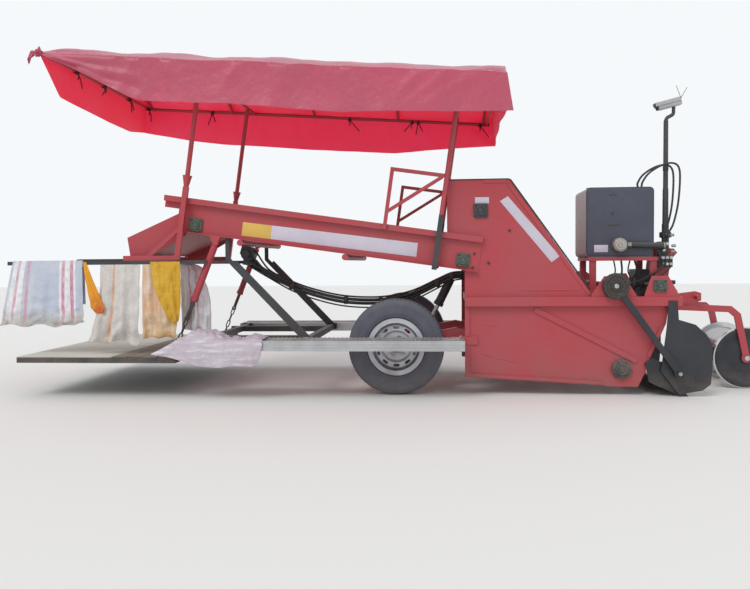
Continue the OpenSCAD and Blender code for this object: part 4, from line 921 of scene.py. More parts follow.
def hexBolt(size, washer=1.45, height=0.62):
    # Hexagon head with a chamfer and a washer, its own +Z outwards
    thin = size * boltShape["washer"]
    ring = plainRound(24, size * washer / 2, thin, (0, 0, thin / 2))
    head = plainRound(6, size / 2 * boltShape["corners"], size * height, (0, 0, thin + size * height / 2))
    pressFaces(head, upper, [(size * inset, size * move) for inset, move in boltShape["top"]])
    return joined([head, ring])


# Rounding of the ears and inset of the rim as shares of the flange, then the boss: (share of its width, move)
flangeShape = {"ears": 0.14, "rim": 0.03, "rimRise": 0.0025, "sunk": 0.006,
               "boss": ((0.07, 0.002), (0.13, -0.006), (0.05, 0.005))}


def flangeBearing(size, boss, thick, cap, square):
    # Cast flange, square with rounded ears or round, under a turned boss with the shaft's end in it
    if square:
        flange = plainBox((-size / 2, -size / 2, 0), (size / 2, size / 2, thick))
        bevelRun(flange, lambda a, b: abs(a.z - b.z) > thick * 0.5, size * flangeShape["ears"], 5)
    else:
        flange = takeUp(plainRound(48, size / 2, thick, (0, 0, thick / 2)))
        bpy.ops.object.transform_apply(location=True, rotation=True, scale=True)
    pressFaces(flange, upper, ((size * flangeShape["rim"], flangeShape["rimRise"]),))
    foot = thick - flangeShape["sunk"]  # the boss stands a little way inside its flange
    ring = plainRound(40, boss / 2, cap - foot, (0, 0, (cap + foot) / 2))
    pressFaces(ring, upper, [(boss * share, move) for share, move in flangeShape["boss"]])
    return joined([flange, ring])


# Zinc plated bolts: bright and crisp, with a little rust in the corners
boltSteel = fieldFinish("zincPlatedBolt", {
    "base": "#b9bbb9", "faded": "#9a9a96", "dust": "#8b8177", "metallic": 0.9, "roughness": (0.25, 0.45),
    "rustSize": 0.006, "rustFrom": 0.6, "patch": 0.02, "grit": 0.004})
# Oiled black bolts: dark points with a dull edge of light
darkBolt = fieldFinish("oiledBlackBolt", {
    "base": "#3b3a39", "faded": "#4d4844", "dust": "#6f675e", "metallic": 0.7, "roughness": (0.35, 0.55),
    "rustSize": 0.006, "rustFrom": 0.58, "patch": 0.02, "grit": 0.004})
# White vinyl and its tinted fields, matt with handling
vinyl = {"roughness": (0.35, 0.5), "rustShare": 0.0, "topDust": 0.1, "gritShare": 0.12, "bump": 0.03,
         "soilTop": 0.1}
vinylWhite = fieldFinish("fadedWhiteVinyl", {"base": "#cfc9d6", "faded": "#c4bdcb", "dust": "#b4a7a4", **vinyl})
vinylYellow = fieldFinish("fadedYellowVinyl", {"base": "#dfb758", "faded": "#cfa851", "dust": "#b99f70", **vinyl})
# Black edge trim, dull and finger-marked: draws a thin dark line round the hood
edgeRubber = fieldFinish("blackEdgeTrim", {
    "base": "#2a2526", "faded": "#35302f", "dust": "#6a5f58", "roughness": (0.5, 0.7), "rustShare": 0.0,
    "gritShare": 0.15, "patch": 0.1})

deckTurn = math.atan2(1.378 - 1.196, 0.176 + 1.222)  # from the strip's two ends in the photograph
panelFace = 0.694  # outer face of the side panels, from the machine's middle
strip = {"x": -1.222, "z": 1.378, "yellow": 0.236, "length": 1.410, "height": 0.109, "face": 0.7003}


def alongDeck(run, rise):
    # A place on the strip, counted along the deck and square to it
    return (strip["x"] + run * math.cos(deckTurn) + rise * math.sin(deckTurn),
            strip["z"] - run * math.sin(deckTurn) + rise * math.cos(deckTurn))


def stripCorners(first, last):
    low = -strip["height"]
    return [alongDeck(first, 0), alongDeck(last, 0), alongDeck(last, low), alongDeck(first, low)]


labels = (
    ("deckStripYellow", stripCorners(0, strip["yellow"]), strip["face"], vinylYellow),
    ("deckStripPale", stripCorners(strip["yellow"] + 0.0005, strip["length"]), strip["face"], vinylWhite),
    ("hoodStrip", [(0.815, 1.516), (0.876, 1.553), (1.276, 1.085), (1.211, 1.037)], panelFace + 0.0003,
     vinylWhite),
    ("hoodLabel", [(0.623, 1.548), (0.731, 1.548), (0.731, 1.5005), (0.623, 1.5005)], panelFace + 0.0003,
     vinylWhite),
    ("tankLabel", [(1.605, 1.175), (1.717, 1.175), (1.717, 1.116), (1.605, 1.116)], 0.3014, vinylWhite))
for name, corners, away, finish in labels:
    sheetPatch(name, corners, -away, finish, "camera_white")

# Bearings as (station, height) in "places"; round ones have six bolts and lie along no slope
squareFlange = {"square": True, "thick": 0.016, "cap": 0.032, "bolts": 4, "reach": 0.355 * math.sqrt(2),
                "first": math.pi / 4, "boltFace": 0.0185}
roundFlange = {"square": False, "thick": 0.030, "cap": 0.046, "bolts": 6, "reach": 0.41, "first": 0.0,
               "boltFace": 0.030}
pillow = {**squareFlange, "finish": greenPaint, "node": "pillow_bearings", "turn": 0.0}
hub = {"finish": blackPaint, "node": "hub_bearings", "turn": 0.0}
bearings = {
    "deck": {**pillow, "places": ((0.527, 1.0601), (-1.608, 1.359)), "face": 0.700, "size": 0.106,
             "boss": 0.066, "turn": -deckTurn},
    "cross": {**pillow, "places": ((2.023, 0.852),), "face": 0.732, "size": 0.096, "boss": 0.060},
    "head": {**squareFlange, **hub, "places": ((0.666, 1.444),), "face": panelFace, "size": 0.110,
             "boss": 0.074},
    "foot": {**roundFlange, **hub, "places": ((1.743, 0.2072),), "face": panelFace, "size": 0.150,
             "boss": 0.090}}


def makeBearings(key, look):
    places, bolts = [], []
    face, turn, radius = look["face"], look["turn"], look["size"] * look["reach"]
    for x, z in look["places"]:
        places += [at(x, -face, z, "-Y", turn), at(x, face, z, "+Y", -turn)]
        for i in range(look["bolts"]):
            angle = look["first"] + i * 2 * math.pi / look["bolts"] + turn
            bolts += bothSides(x + radius * math.cos(angle), face + look["boltFace"], z + radius * math.sin(angle))
    pattern = flangeBearing(look["size"], look["boss"], look["thick"], look["cap"], look["square"])
    made = repeat(pattern, key + "Bearings", "chassis", look["finish"], places, "green_paint", 30)
    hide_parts(look["node"])
    repeat(hexBolt(0.015), key + "BearingBolts", "chassis", darkBolt, bolts, "black_paint", 30)


for key, look in bearings.items():
    makeBearings(key, look)
print("labels and bearings made")

sideBolts = ((0.889, 1.287, panelFace), (0.727, 1.035, 0.700), (0.645, 1.222, 0.700), (0.617, 1.108, 0.700),
             (0.602, 1.000, 0.700))
repeat(hexBolt(0.020), "sideBolts", "chassis", darkBolt,
       [place for x, z, y in sideBolts for place in bothSides(x, y, z)], "black_paint", 30)

hoodEdge = {"line": ((0.410, 1.6835), (0.640, 1.6838), (0.880, 1.6842), (0.898, 1.678), (1.508, 0.8180)),
            "away": 0.691, "above": 0.002, "radius": 0.0065}
for side, label in ((-1, "Right"), (1, "Left")):
    line = [(x, side * hoodEdge["away"], z + hoodEdge["above"]) for x, z in hoodEdge["line"]]
    trimTube("hoodEdge" + label, line, hoodEdge["radius"], edgeRubber, "black_paint")
print("edge trim made")

# Swages pressed into the lower side sheets: both ends and half the width, as in the photograph
swages = (((0.684, 0.562), (0.800, 0.535), 0.007), ((0.662, 0.330), (0.760, 0.300), 0.008),
          ((0.760, 0.300), (0.965, 0.248), 0.006), ((0.938, 0.8215), (1.444, 0.8195), 0.007))
swageRise = 0.0035


def swage(start, end, wide, side):
    (xa, za), (xb, zb) = start, end
    bpy.ops.mesh.primitive_uv_sphere_add(segments=20, ring_count=10, radius=1.0)
    form = bpy.context.object
    form.scale = (math.hypot(xb - xa, zb - za) / 2, swageRise, wide)
    form.rotation_euler = (0, -math.atan2(zb - za, xb - xa), 0)
    form.location = ((xa + xb) / 2 + axleX, side * panelFace, (za + zb) / 2)
    return form


settle(joined([swage(*line, side) for line in swages for side in (-1, 1)]), "sideSwages", "chassis", redPaint,
       "red_paint", 60)
print("swages made")

# Sheet steel tank: a slate front plate seamed to a lighter, galvanised-grey wrap
tankWrap = fieldFinish("paleGreyTankEnamel", {
    "base": "#9fa19d", "faded": "#92938f", "dust": "#a39c92", "roughness": (0.4, 0.55), "patch": 0.25,
    "rustShare": 0.3, "gritShare": 0.12})
tank = {
    "top": 1.645, "corner": 0.036, "filler": (1.660, 0.130),
    # radius, height and middle above the tank's top
    "neck": (0.036, 0.020, 0.008), "cap": (0.044, 0.018, 0.024), "knurl": 0.0025,
    # end plates: set in by a seam and pressed out again, as (inset, move)
    "seam": ((0.006, -0.004), (0.006, 0.004), (0.010, 0.0), (0.006, 0.0015)),
    # two short bars and a round plug pressed into the front plate, as in the photograph
    "bars": ((1.757, 1.583, 0.055), (1.760, 1.335, 0.100)), "barHigh": 0.012, "plug": (1.750, 1.431, 0.013),
    "markDeep": 0.006, "markOut": 0.001}


def makeTankBody(low, high):
    body = plainBox(low, (high[0], high[1], tank["top"]))
    bevelRun(body, lambda a, b: abs(a.y - b.y) > 0.1, tank["corner"], 6)
    for outward in (-1, 1):
        pressFaces(body, lambda middle, normal: normal.y * outward > 0.95, tank["seam"], (0, outward, 0))
    settle(body, "oilTank", "chassis", tankPaint, "tank_paint", 35)
    body.data.materials.append(tankWrap)
    for face in body.data.polygons:
        face.material_index = 0 if face.normal.y < -0.7 and face.center.y < low[1] + 0.02 else 1
    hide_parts("tank")


def makeTankFiller():
    # Filler neck with its knurled cap
    x, y = tank["filler"][0] + axleX, tank["filler"][1]
    neck, cap = [plainRound(48, radius, high, (x, y, tank["top"] + above))
                 for radius, high, above in (tank["neck"], tank["cap"])]
    editing(cap)
    mesh = bmesh.from_edit_mesh(cap.data)
    for index, face in enumerate(face for face in mesh.faces if abs(face.normal.z) < 0.3):
        face.select_set(index % 2 == 0)
    bmesh.update_edit_mesh(cap.data)
    bpy.ops.mesh.extrude_region_shrink_fatten(TRANSFORM_OT_shrink_fatten={"value": tank["knurl"]})
    pressFaces(cap, upper, ((0.008, -0.003),))
    settle(joined([cap, neck]), "tankFiller", "chassis", blackPaint, "black_paint", 30)


def makeTankMarks(face):
    half, high, y = tank["markDeep"] / 2, tank["barHigh"] / 2, face - tank["markOut"]
    marks = [plainBox((x + axleX - long / 2, y - half, z - high), (x + axleX + long / 2, y + half, z + high))
             for x, z, long in tank["bars"]]
    x, z, radius = tank["plug"]
    plug = plainRound(24, radius, tank["markDeep"], (x + axleX, y, z))
    plug.rotation_euler = (math.pi / 2, 0, 0)
    settle(joined(marks + [plug]), "tankMarks", "chassis", blackPaint, "black_paint", 30)


tankLow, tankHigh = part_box("tank")
makeTankBody(tankLow, tankHigh)
makeTankFiller()
makeTankMarks(tankLow[1])
print("tank made")

crank = {"x": 1.681, "z": 0.852, "face": 0.8123}
foot = {"x": 2.153, "z": 0.186, "face": 0.8263}
ringProfile = [(0.098, 0.0), (0.098, 0.007), (0.094, 0.010), (0.074, 0.010), (0.070, 0.006), (0.046, 0.005),
               (0.043, 0.011), (0.031, 0.013), (0.029, 0.006), (0.0, 0.006)]
turned("crankRings", ringProfile, bothSides(crank["x"], crank["face"], crank["z"]), "chassis", darkBolt,
       "black_paint")
repeat(hexBolt(0.034, 1.5, 0.55), "crankBolts", "chassis", boltSteel,
       bothSides(crank["x"], crank["face"] + 0.0055, crank["z"]), "chrome", 30)
repeat(hexBolt(0.028, 1.7, 0.5), "rodFootBolts", "chassis", boltSteel,
       bothSides(foot["x"], foot["face"], foot["z"]), "chrome", 30)

# Blackened plough steel: nearly black, with a worn sheen and soil at its foot
blackSteel = fieldFinish("blackenedPloughSteel", {
    "base": "#2b2d33", "faded": "#35373d", "dust": "#5e5a56", "metallic": 0.3, "roughness": (0.35, 0.6),
    "soilTop": 0.22, "soilShare": 0.45, "rustFrom": 0.68, "rustShare": 0.4, "bump": 0.3, "gritShare": 0.12})
for name in ("share_shields", "shaker_rods", "share"):
    dress(nodes[name], blackSteel)
print("cranks made")

# Front roller: dark end disc with a turned rim, bolted to each end
roller = {"x": 2.810, "z": 0.250, "end": 0.3003}
discProfile = [(0.240, 0.0), (0.240, 0.003), (0.232, 0.006), (0.200, 0.006), (0.190, 0.003), (0.120, 0.003),
               (0.110, 0.007), (0.046, 0.007), (0.042, 0.004), (0.0225, 0.004)]
turned("rollerEnds", discProfile, bothSides(roller["x"], roller["end"], roller["z"]), "roller", blackSteel,
       "black_paint", 64)
print("roller ends made")

tyre = {"radius": 0.380, "track": 0.660, "blocks": 66, "cutDepth": 0.0055}
# From the bead over the sidewall to the middle of the tread: radius, distance from the tyre's middle
tyreProfile = [
    (0.2045, 0.0665), (0.2290, 0.0680), (0.2350, 0.0850), (0.2480, 0.0905), (0.2560, 0.0915), (0.2600, 0.0940),
    (0.2660, 0.0945), (0.2900, 0.0950), (0.3250, 0.0935), (0.3300, 0.0945), (0.3360, 0.0935), (0.3480, 0.0885),
    (0.3560, 0.0850), (0.3620, 0.0810), (0.3700, 0.0760), (0.3765, 0.0660), (0.3780, 0.0600), (0.3785, 0.0480),
    (0.3715, 0.0465), (0.3715, 0.0405), (0.3790, 0.0390), (0.3798, 0.0200), (0.3720, 0.0185), (0.3720, 0.0125),
    (0.3798, 0.0110), (0.3799, 0.0)]


def makeTyre(side, body, label):
    # Road tyre: ribbed sidewalls, four grooves round the tread and slots cut across its shoulders
    steps = tyre["blocks"] * 2
    profile = tyreProfile + [(r, -z) for r, z in reversed(tyreProfile[:-1])] + tyreProfile[:1]
    piece = spun("tyre", profile, steps)

    def cutOut(middle, normal):
        far = math.hypot(middle.x, middle.y)
        turn = math.atan2(middle.y, middle.x) % (2 * math.pi)
        column = int(math.floor(turn / (2 * math.pi / steps) + 0.01))
        shoulder = far > 0.3725 and abs(middle.z) > 0.0485
        ribs = far > 0.376 and 0.020 < abs(middle.z) < 0.040
        return (shoulder and column % 2 == 0) or (ribs and column % 4 == (1 if middle.z > 0 else 3))

    editing(piece)
    pick(piece, cutOut)
    bpy.ops.mesh.extrude_region_shrink_fatten(TRANSFORM_OT_shrink_fatten={"value": -tyre["cutDepth"]})
    finishEditing()
    piece.matrix_world = at(0, side * tyre["track"], tyre["radius"], "-Y")
    settle(piece, "roadTyre" + label, body, tyreRubber, "tyre_rubber", 32)
    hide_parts("tyre_" + label)


wheel = {
    "nuts": 6, "nutRing": 0.082, "nutFace": 0.0142, "nutTurn": 0.2, "capFace": 0.052,
    "cap": ((0.044, 0.0), (0.044, 0.006), (0.040, 0.012), (0.034, 0.016), (0.012, 0.018), (0.010, 0.014),
            (0.0, 0.014)),
    "valve": ((0.0042, 0.0), (0.0042, 0.020), (0.0052, 0.021), (0.0052, 0.034), (0.0, 0.036)),
    "valvePlace": (-0.1735, 0.687)}


def makeWheelParts(side, body, label):
    # Wheel nuts round the hub, dust cap and valve
    facing = "-Y" if side < 0 else "+Y"
    track, height, ring = tyre["track"], tyre["radius"], wheel["nutRing"]
    angles = [i * 2 * math.pi / wheel["nuts"] + wheel["nutTurn"] for i in range(wheel["nuts"])]
    nuts = [at(ring * math.cos(angle), side * (track + wheel["nutFace"]), height + ring * math.sin(angle), facing)
            for angle in angles]
    repeat(hexBolt(0.022, 1.3, 0.8), "wheelNuts" + label, body, boltSteel, nuts, "chrome", 30)
    turned("dustCap" + label, wheel["cap"], [at(0, side * (track + wheel["capFace"]), height, facing)], body,
           blackPaint, "black_paint", 36)
    x, y = wheel["valvePlace"]
    turned("valve" + label, wheel["valve"], [at(x, side * y, height, facing)], body, edgeRubber, "tyre_rubber", 12)


wheels = ((-1, "wheel_right", "Right"), (1, "wheel_left", "Left"))
for side, body, label in wheels:
    makeTyre(side, body, label.lower())
for side, body, label in wheels:
    makeWheelParts(side, body, label)
print("wheels made")

# Aluminium planks: rows of raised, pierced studs on top and drawn ribs along the side
plank = {
    "rear": -1.640, "front": 0.533, "inner": 0.770, "outer": 1.070, "top": 0.460,
    "rows": 7, "studsInRow": 62, "margin": 0.030, "stud": 0.0072, "studHigh": 0.004, "rise": 0.0001,
    # ribs: how far below the top, and how high
    "ribs": ((0.0045, 0.009), (0.030, 0.006), (0.052, 0.006), (0.0745, 0.009)), "ribOut": 0.0012,
    "ribDeep": 0.0030}


def makePlankStuds(side, body, label):
    stud = plainRound(10, plank["stud"], plank["studHigh"], (0, 0, plank["studHigh"] / 2))
    pressFaces(stud, upper, ((0.0026, -0.0036),))
    editing(stud)
    pick(stud, lambda middle, normal: normal.z < -0.9)
    bpy.ops.mesh.delete(type="FACE")
    finishEditing()
    margin, rows, count = plank["margin"], plank["rows"], plank["studsInRow"]
    wide = plank["outer"] - plank["inner"] - 2 * margin
    length = plank["front"] - plank["rear"] - 2 * margin
    places = [at(plank["rear"] + margin + (i + 0.5 * (row % 2)) * length / count,
                 side * (plank["inner"] + margin + row * wide / (rows - 1)), plank["top"] + plank["rise"], "+Z")
              for row in range(rows) for i in range(count)]
    repeat(stud, "plankStuds" + label, body, aluminium, places, "plank_aluminium", 40)


def makePlankRibs(side, body, label):
    ribs = []
    middle, half = side * (plank["outer"] + plank["ribOut"]), plank["ribDeep"] / 2
    for below, high in plank["ribs"]:
        z = plank["top"] - below
        rib = plainBox((plank["rear"] + 0.001 + axleX, middle - half, z - high / 2),
                       (plank["front"] - 0.001 + axleX, middle + half, z + high / 2))
        ribs.append(bevelled(rib, 0.0012))
    settle(joined(ribs), "plankRibs" + label, body, aluminium, "plank_aluminium", 30)


for side, label in ((-1, "Right"), (1, "Left")):
    makePlankStuds(side, "plank_" + label.lower(), label)
    makePlankRibs(side, "plank_" + label.lower(), label)
print("planks made")

# Fibre board, chalky and pale: it throws a light patch under the sacks
paleBoard = fieldFinish("chalkyFibreBoard", {
    "base": "#cfd1c6", "faded": "#c0c2b6", "dust": "#c6bcab", "roughness": (0.65, 0.85), "rustShare": 0.0,
    "patch": 0.35, "topDust": 0.15, "soilTop": 0.6, "soilShare": 0.15, "gritShare": 0.3, "grit": 0.03})
# Sawn pine with trodden mud: brown, rough and dull
brownBoard = fieldFinish("muddyPineBoard", {
    "base": "#77716a", "faded": "#857a6c", "dust": "#8b7c6c", "roughness": (0.7, 0.9), "rustShare": 0.0,
    "patch": 0.12, "topDust": 0.3, "soilTop": 0.6, "soilShare": 0.5, "gritShare": 0.35, "bump": 0.4,
    "rippleSize": 0.012})
# Pale sheets at the rear, rough boards in front of them and a black strip along both edges, which partly paints
# the shade under the boards' near edge
platform = {
    "rear": -2.980, "front": -1.700, "half": 1.000, "top": 0.3203,
    "sheetFront": -2.215, "sheetThick": 0.006, "sheets": ((-0.996, -0.004, 1.1), (0.004, 0.996, 4.2)),
    "boards": 4, "firstBoard": -2.203, "pitch": 0.122, "boardWide": 0.115, "boardThick": 0.010,
    "stripThick": 0.0024, "strip": (0.303, 0.319), "stripShort": 0.015}


def board(low, high, bevel, seed):
    # Sawn board: softened edges, a little cupping and a wavering end
    piece = plainBox((low[0] + axleX, *low[1:]), (high[0] + axleX, *high[1:]))
    editing(piece, every=True)
    bpy.ops.mesh.subdivide(number_cuts=6)
    finishEditing()
    side = max(abs(low[1]), abs(high[1]))
    for vertex in piece.data.vertices:
        wander = noise.noise(Vector((vertex.co.x * 4 + seed, vertex.co.y * 3, seed)))
        vertex.co.x += 0.003 * wander if abs(vertex.co.x - high[0] - axleX) < 0.001 else 0.0
        vertex.co.y += 0.004 * wander if abs(abs(vertex.co.y) - side) < 0.001 else 0.0
    return bevelled(piece, bevel, 2)


def makePlatform():
    rear, top = platform["rear"], platform["top"]
    sheets = [board((rear + 0.004, right, top), (platform["sheetFront"], left, top + platform["sheetThick"]),
                    0.0015, seed) for right, left, seed in platform["sheets"]]
    settle(joined(sheets), "paleBoards", "rear_platform", paleBoard, "platform_board", 30)
    rough = []
    for i in range(platform["boards"]):
        start = platform["firstBoard"] + i * platform["pitch"]
        rough.append(board((start, -0.992 + 0.01 * (i % 2), top),
                           (start + platform["boardWide"], 0.990 - 0.012 * (i % 3), top + platform["boardThick"]),
                           0.003, 2.0 + i * 3.1))
    settle(joined(rough), "roughBoards", "rear_platform", brownBoard, "platform_board", 30)
    half, strips, (low, high) = platform["half"], [], platform["strip"]
    # black strips: partly painted shade for the dark band under the boards' near edge
    for side in (-1, 1):
        y = sorted((side * half, side * (half + platform["stripThick"])))
        strips.append(plainBox((rear + platform["stripShort"] + axleX, y[0], low),
                               (platform["front"] - platform["stripShort"] + axleX, y[1], high)))
    settle(joined(strips), "platformEdges", "rear_platform", blackPaint, "black_paint", 30)


makePlatform()
# the platform's frame in black: partly its dark steel, partly painted shade and soil under its boards
dress(nodes["rear_platform"], blackPaint)
dress(nodes["tail_rods"], chainSteel)  # rods and chains dull with oil and earth
print("platform made")

# Camera on its mast: a bullet housing under its sunshield, with two whip aerials
mastCamera = {
    "place": (2.236, -0.110, 2.338), "tilt": 14,
    # boxes along the camera's own axis: both corners, edge softening, its segments
    "body": ((-0.085, -0.034, -0.030), (0.110, 0.034, 0.030), 0.014, 4),
    "lid": ((-0.112, -0.041, 0.031), (0.122, 0.041, 0.035), 0.0018, 2),
    "cheek": ((-0.106, -0.0018, 0.004), (0.100, 0.0018, 0.032), 0.0008, 1), "cheekOut": 0.0395,
    "lens": ((0.026, 0.0), (0.028, 0.004), (0.028, 0.012), (0.024, 0.014), (0.022, 0.008), (0.016, 0.005),
             (0.008, 0.009), (0.0, 0.010)),
    "lensOut": 0.0852, "aerialRoot": (0.106, 0.0, 0.052), "aerial": 0.0022,
    "tips": (("Front", (2.392, -0.104, 2.478)), ("Rear", (2.302, -0.116, 2.492)))}


def housing(low, high, bevel, segments):
    return bevelled(plainBox(low, high), bevel, segments)


def makeCamera():
    x, y, z = mastCamera["place"]
    place = Matrix.Translation((x + axleX, y, z)) @ Matrix.Rotation(-math.radians(mastCamera["tilt"]), 4, "Y")
    body, shell = housing(*mastCamera["body"]), [housing(*mastCamera["lid"])]
    for side in (-1, 1):
        cheek = housing(*mastCamera["cheek"])
        cheek.data.transform(Matrix.Translation((0, side * mastCamera["cheekOut"], 0)))
        shell.append(cheek)
    shell = joined(shell)
    for piece, name in ((body, "cameraHousing"), (shell, "cameraSunshield")):
        piece.matrix_world = place
        settle(piece, name, "chassis", cameraPaint, "camera_white", 30)
    front = Matrix.Translation((-mastCamera["lensOut"], 0, 0)) @ Matrix.Rotation(math.radians(-90), 4, "Y")
    turned("cameraLens", mastCamera["lens"], [place @ front], "chassis", edgeRubber, "black_paint", 36)
    root = tuple(a + b for a, b in zip(mastCamera["place"], mastCamera["aerialRoot"]))
    for label, tip in mastCamera["tips"]:
        middle = tuple(r + (t - r) * 0.5 for r, t in zip(root, tip))
        trimTube("aerial" + label, [root, middle, tip], mastCamera["aerial"], edgeRubber, "black_paint")
    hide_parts("camera")


makeCamera()
print("camera made")


def joinedHoses(hoses, name, node=None):
    whole = joined(hoses)
    whole.name = whole.data.name = name
    if node:
        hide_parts(node)


bundle = {
    "route": ((-1.185, -0.415, 1.040), (-1.080, -0.400, 0.960), (-0.900, -0.350, 0.860), (-0.700, -0.300, 0.785),
              (-0.450, -0.280, 0.730), (-0.150, -0.280, 0.722), (0.100, -0.280, 0.770), (0.320, -0.290, 0.870),
              (0.440, -0.300, 0.924), (0.540, -0.300, 0.935)),
    # each hose: radius, its place in the bundle, where it ends on the motor, extra sag
    "hoses": ((0.0130, (-0.012, 0.013), (-1.222, -0.375, 1.075), 0.000),
              (0.0130, (0.013, 0.012), (-1.222, -0.470, 1.065), 0.002),
              (0.0120, (-0.013, -0.012), (-1.285, -0.350, 1.050), 0.003),
              (0.0120, (0.012, -0.013), (-1.250, -0.500, 1.120), 0.006),
              (0.0075, (0.000, 0.030), (-1.240, -0.420, 1.180), -0.006),
              (0.0065, (0.004, -0.030), (-1.262, -0.440, 1.040), 0.022)),
    "bands": (2, 4, 5, 7, 8), "band": (0.034, 0.030, 0.006)}


def makeBundle():
    made = []
    for index, (radius, (across, up), port, sag) in enumerate(bundle["hoses"]):
        points = [port, ((port[0] - 1.185) / 2 + 0.03, (port[1] - 0.415) / 2, port[2] - 0.045)]
        for i, (x, y, z) in enumerate(bundle["route"][1:]):
            low = math.sin(math.pi * (i + 1) / 9)
            shift = 0.005 * math.sin(2.1 * i + 1.7 * index)
            points.append((x, y + across + shift, z + up - sag * low))
        made.append(trimTube("hose" + str(index), eased(points), radius, hoseRubber, "hose_rubber", 12))
    joinedHoses(made, "motorHoses", "hose_bundle")
    bands, (radius, wide, wall) = [], bundle["band"]
    for i in bundle["bands"]:
        x, y, z = bundle["route"][i]
        lean = (Vector(bundle["route"][i + 1]) - Vector((x, y, z))).normalized().to_track_quat("Z", "Y")
        band = plainRound(28, radius, wide)
        editing(band)
        pick(band, lambda middle, normal: abs(normal.z) > 0.9)
        bpy.ops.mesh.inset(thickness=wall)
        bpy.ops.mesh.delete(type="FACE")
        finishEditing()
        band.matrix_world = Matrix.Translation((x + axleX, y, z)) @ lean.to_matrix().to_4x4()
        bands.append(band)
    settle(joined(bands), "hoseBands", "chassis", edgeRubber, "black_paint", 30)


makeBundle()

mast = {
    "loop": ((2.000, -0.150, 1.643), (2.000, -0.150, 1.665), (2.002, -0.150, 1.690), (2.035, -0.150, 1.745),
             (2.090, -0.150, 1.790), (2.160, -0.155, 1.825), (2.230, -0.165, 1.835), (2.275, -0.175, 1.800),
             (2.285, -0.185, 1.700), (2.270, -0.195, 1.500), (2.235, -0.203, 1.340), (2.200, -0.205, 1.265),
             (2.200, -0.205, 1.230), (2.200, -0.205, 1.199)),
    # both hoses: shift along and across the machine, bow forwards, bow upwards
    "hoses": ((-0.012, 0.006, -0.006, 0.0), (0.011, -0.012, 0.020, 0.012)), "hose": 0.0085,
    # pipe with a socket, its clamp, a narrower upper pipe and a collar: radius, height
    "pipe": ((0.0, 1.145), (0.030, 1.145), (0.030, 1.232), (0.046, 1.236), (0.048, 1.240), (0.048, 1.276),
             (0.046, 1.280), (0.0285, 1.284), (0.0285, 1.345), (0.026, 1.352), (0.0245, 1.356), (0.0235, 1.630),
             (0.0205, 1.650), (0.0200, 1.790), (0.0235, 1.795), (0.0235, 1.835), (0.0200, 1.840),
             (0.0190, 2.205), (0.0, 2.207)),
    "pipeAt": (2.222, -0.110, 0.0),
    "neck": ((2.222, -0.110, 2.190), (2.222, -0.110, 2.212), (2.236, -0.110, 2.232), (2.262, -0.110, 2.246),
             (2.280, -0.110, 2.262), (2.283, -0.110, 2.300), (2.283, -0.110, 2.318)), "neckRadius": 0.0150}


def makeMast():
    loops = []
    for index, (dx, dy, bow, rise) in enumerate(mast["hoses"]):
        shares = [math.sin(math.pi * i / (len(mast["loop"]) - 1)) for i in range(len(mast["loop"]))]
        points = [(x + dx + bow * share, y + dy, z + rise * share)
                  for (x, y, z), share in zip(mast["loop"], shares)]
        loops.append(trimTube("loop" + str(index), eased(points, 5), mast["hose"], hoseRubber, "hose_rubber",
                              sides=12))
    joinedHoses(loops, "mastHoses", "mast_hose")
    pipe = turned("mastPipe", mast["pipe"], [at(*mast["pipeAt"], "+Z")], "chassis", blackPaint, "black_paint",
                  32, 30)
    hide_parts("camera_mast")
    trimTube("mastNeck", eased(mast["neck"], 5), mast["neckRadius"], blackPaint, "black_paint", sides=16)


makeMast()
print("hoses and mast made")

valve = {
    "low": (2.128, -0.292, 0.990), "high": (2.236, -0.166, 1.086), "edge": 0.003,
    # its outer face: inset, how far it stands out, then a second inset that is sunk again; its ends: (inset, move)
    "face": (0.012, 0.012), "sunk": (0.008, 0.004), "ends": ((0.014, 0.003),),
    # hose fitting of hexagon nut, collar and ferrule: shares of its size and of its length
    "size": 0.022, "length": 0.034,
    "fitting": ((0.0, 0.0), (0.42, 0.0), (0.42, 0.25), (0.60, 0.27), (0.60, 0.52), (0.45, 0.55), (0.45, 0.70),
                (0.56, 0.72), (0.56, 1.0), (0.0, 1.0)),
    "ports": (((2.243, -0.200, 1.118), "+X"), ((2.243, -0.222, 1.165), "+X"), ((2.200, -0.240, 1.180), "-Y"),
              ((2.172, -0.240, 1.130), "-Y"), ((2.250, -0.145, 1.255), "+X"), ((2.222, -0.158, 1.262), "-Y")),
    "drops": ((2.150, -0.318, 1.060), (2.182, -0.318, 1.060), (2.214, -0.318, 1.010), (2.150, -0.318, 1.010)),
    "drains": ((1.775, -0.235), (1.842, -0.205), (1.905, -0.245), (1.955, -0.180))}


def makeValveBlock():
    # Spool valve beside the top link's bracket, with a raised face of ports
    block = plainBox((valve["low"][0] + axleX, *valve["low"][1:]), (valve["high"][0] + axleX, *valve["high"][1:]))
    editing(block)
    pick(block, lambda middle, normal: normal.y < -0.9)
    bpy.ops.mesh.inset(thickness=valve["face"][0])
    bpy.ops.mesh.extrude_region_move(TRANSFORM_OT_translate={"value": (0, -valve["face"][1], 0)})
    bpy.ops.mesh.inset(thickness=valve["sunk"][0])
    bpy.ops.transform.translate(value=(0, valve["sunk"][1], 0))
    pressFaces(block, lambda middle, normal: abs(normal.x) > 0.9, valve["ends"])
    settle(bevelled(block, valve["edge"], 2), "spoolValve", "chassis", blackPaint, "black_paint", 35)


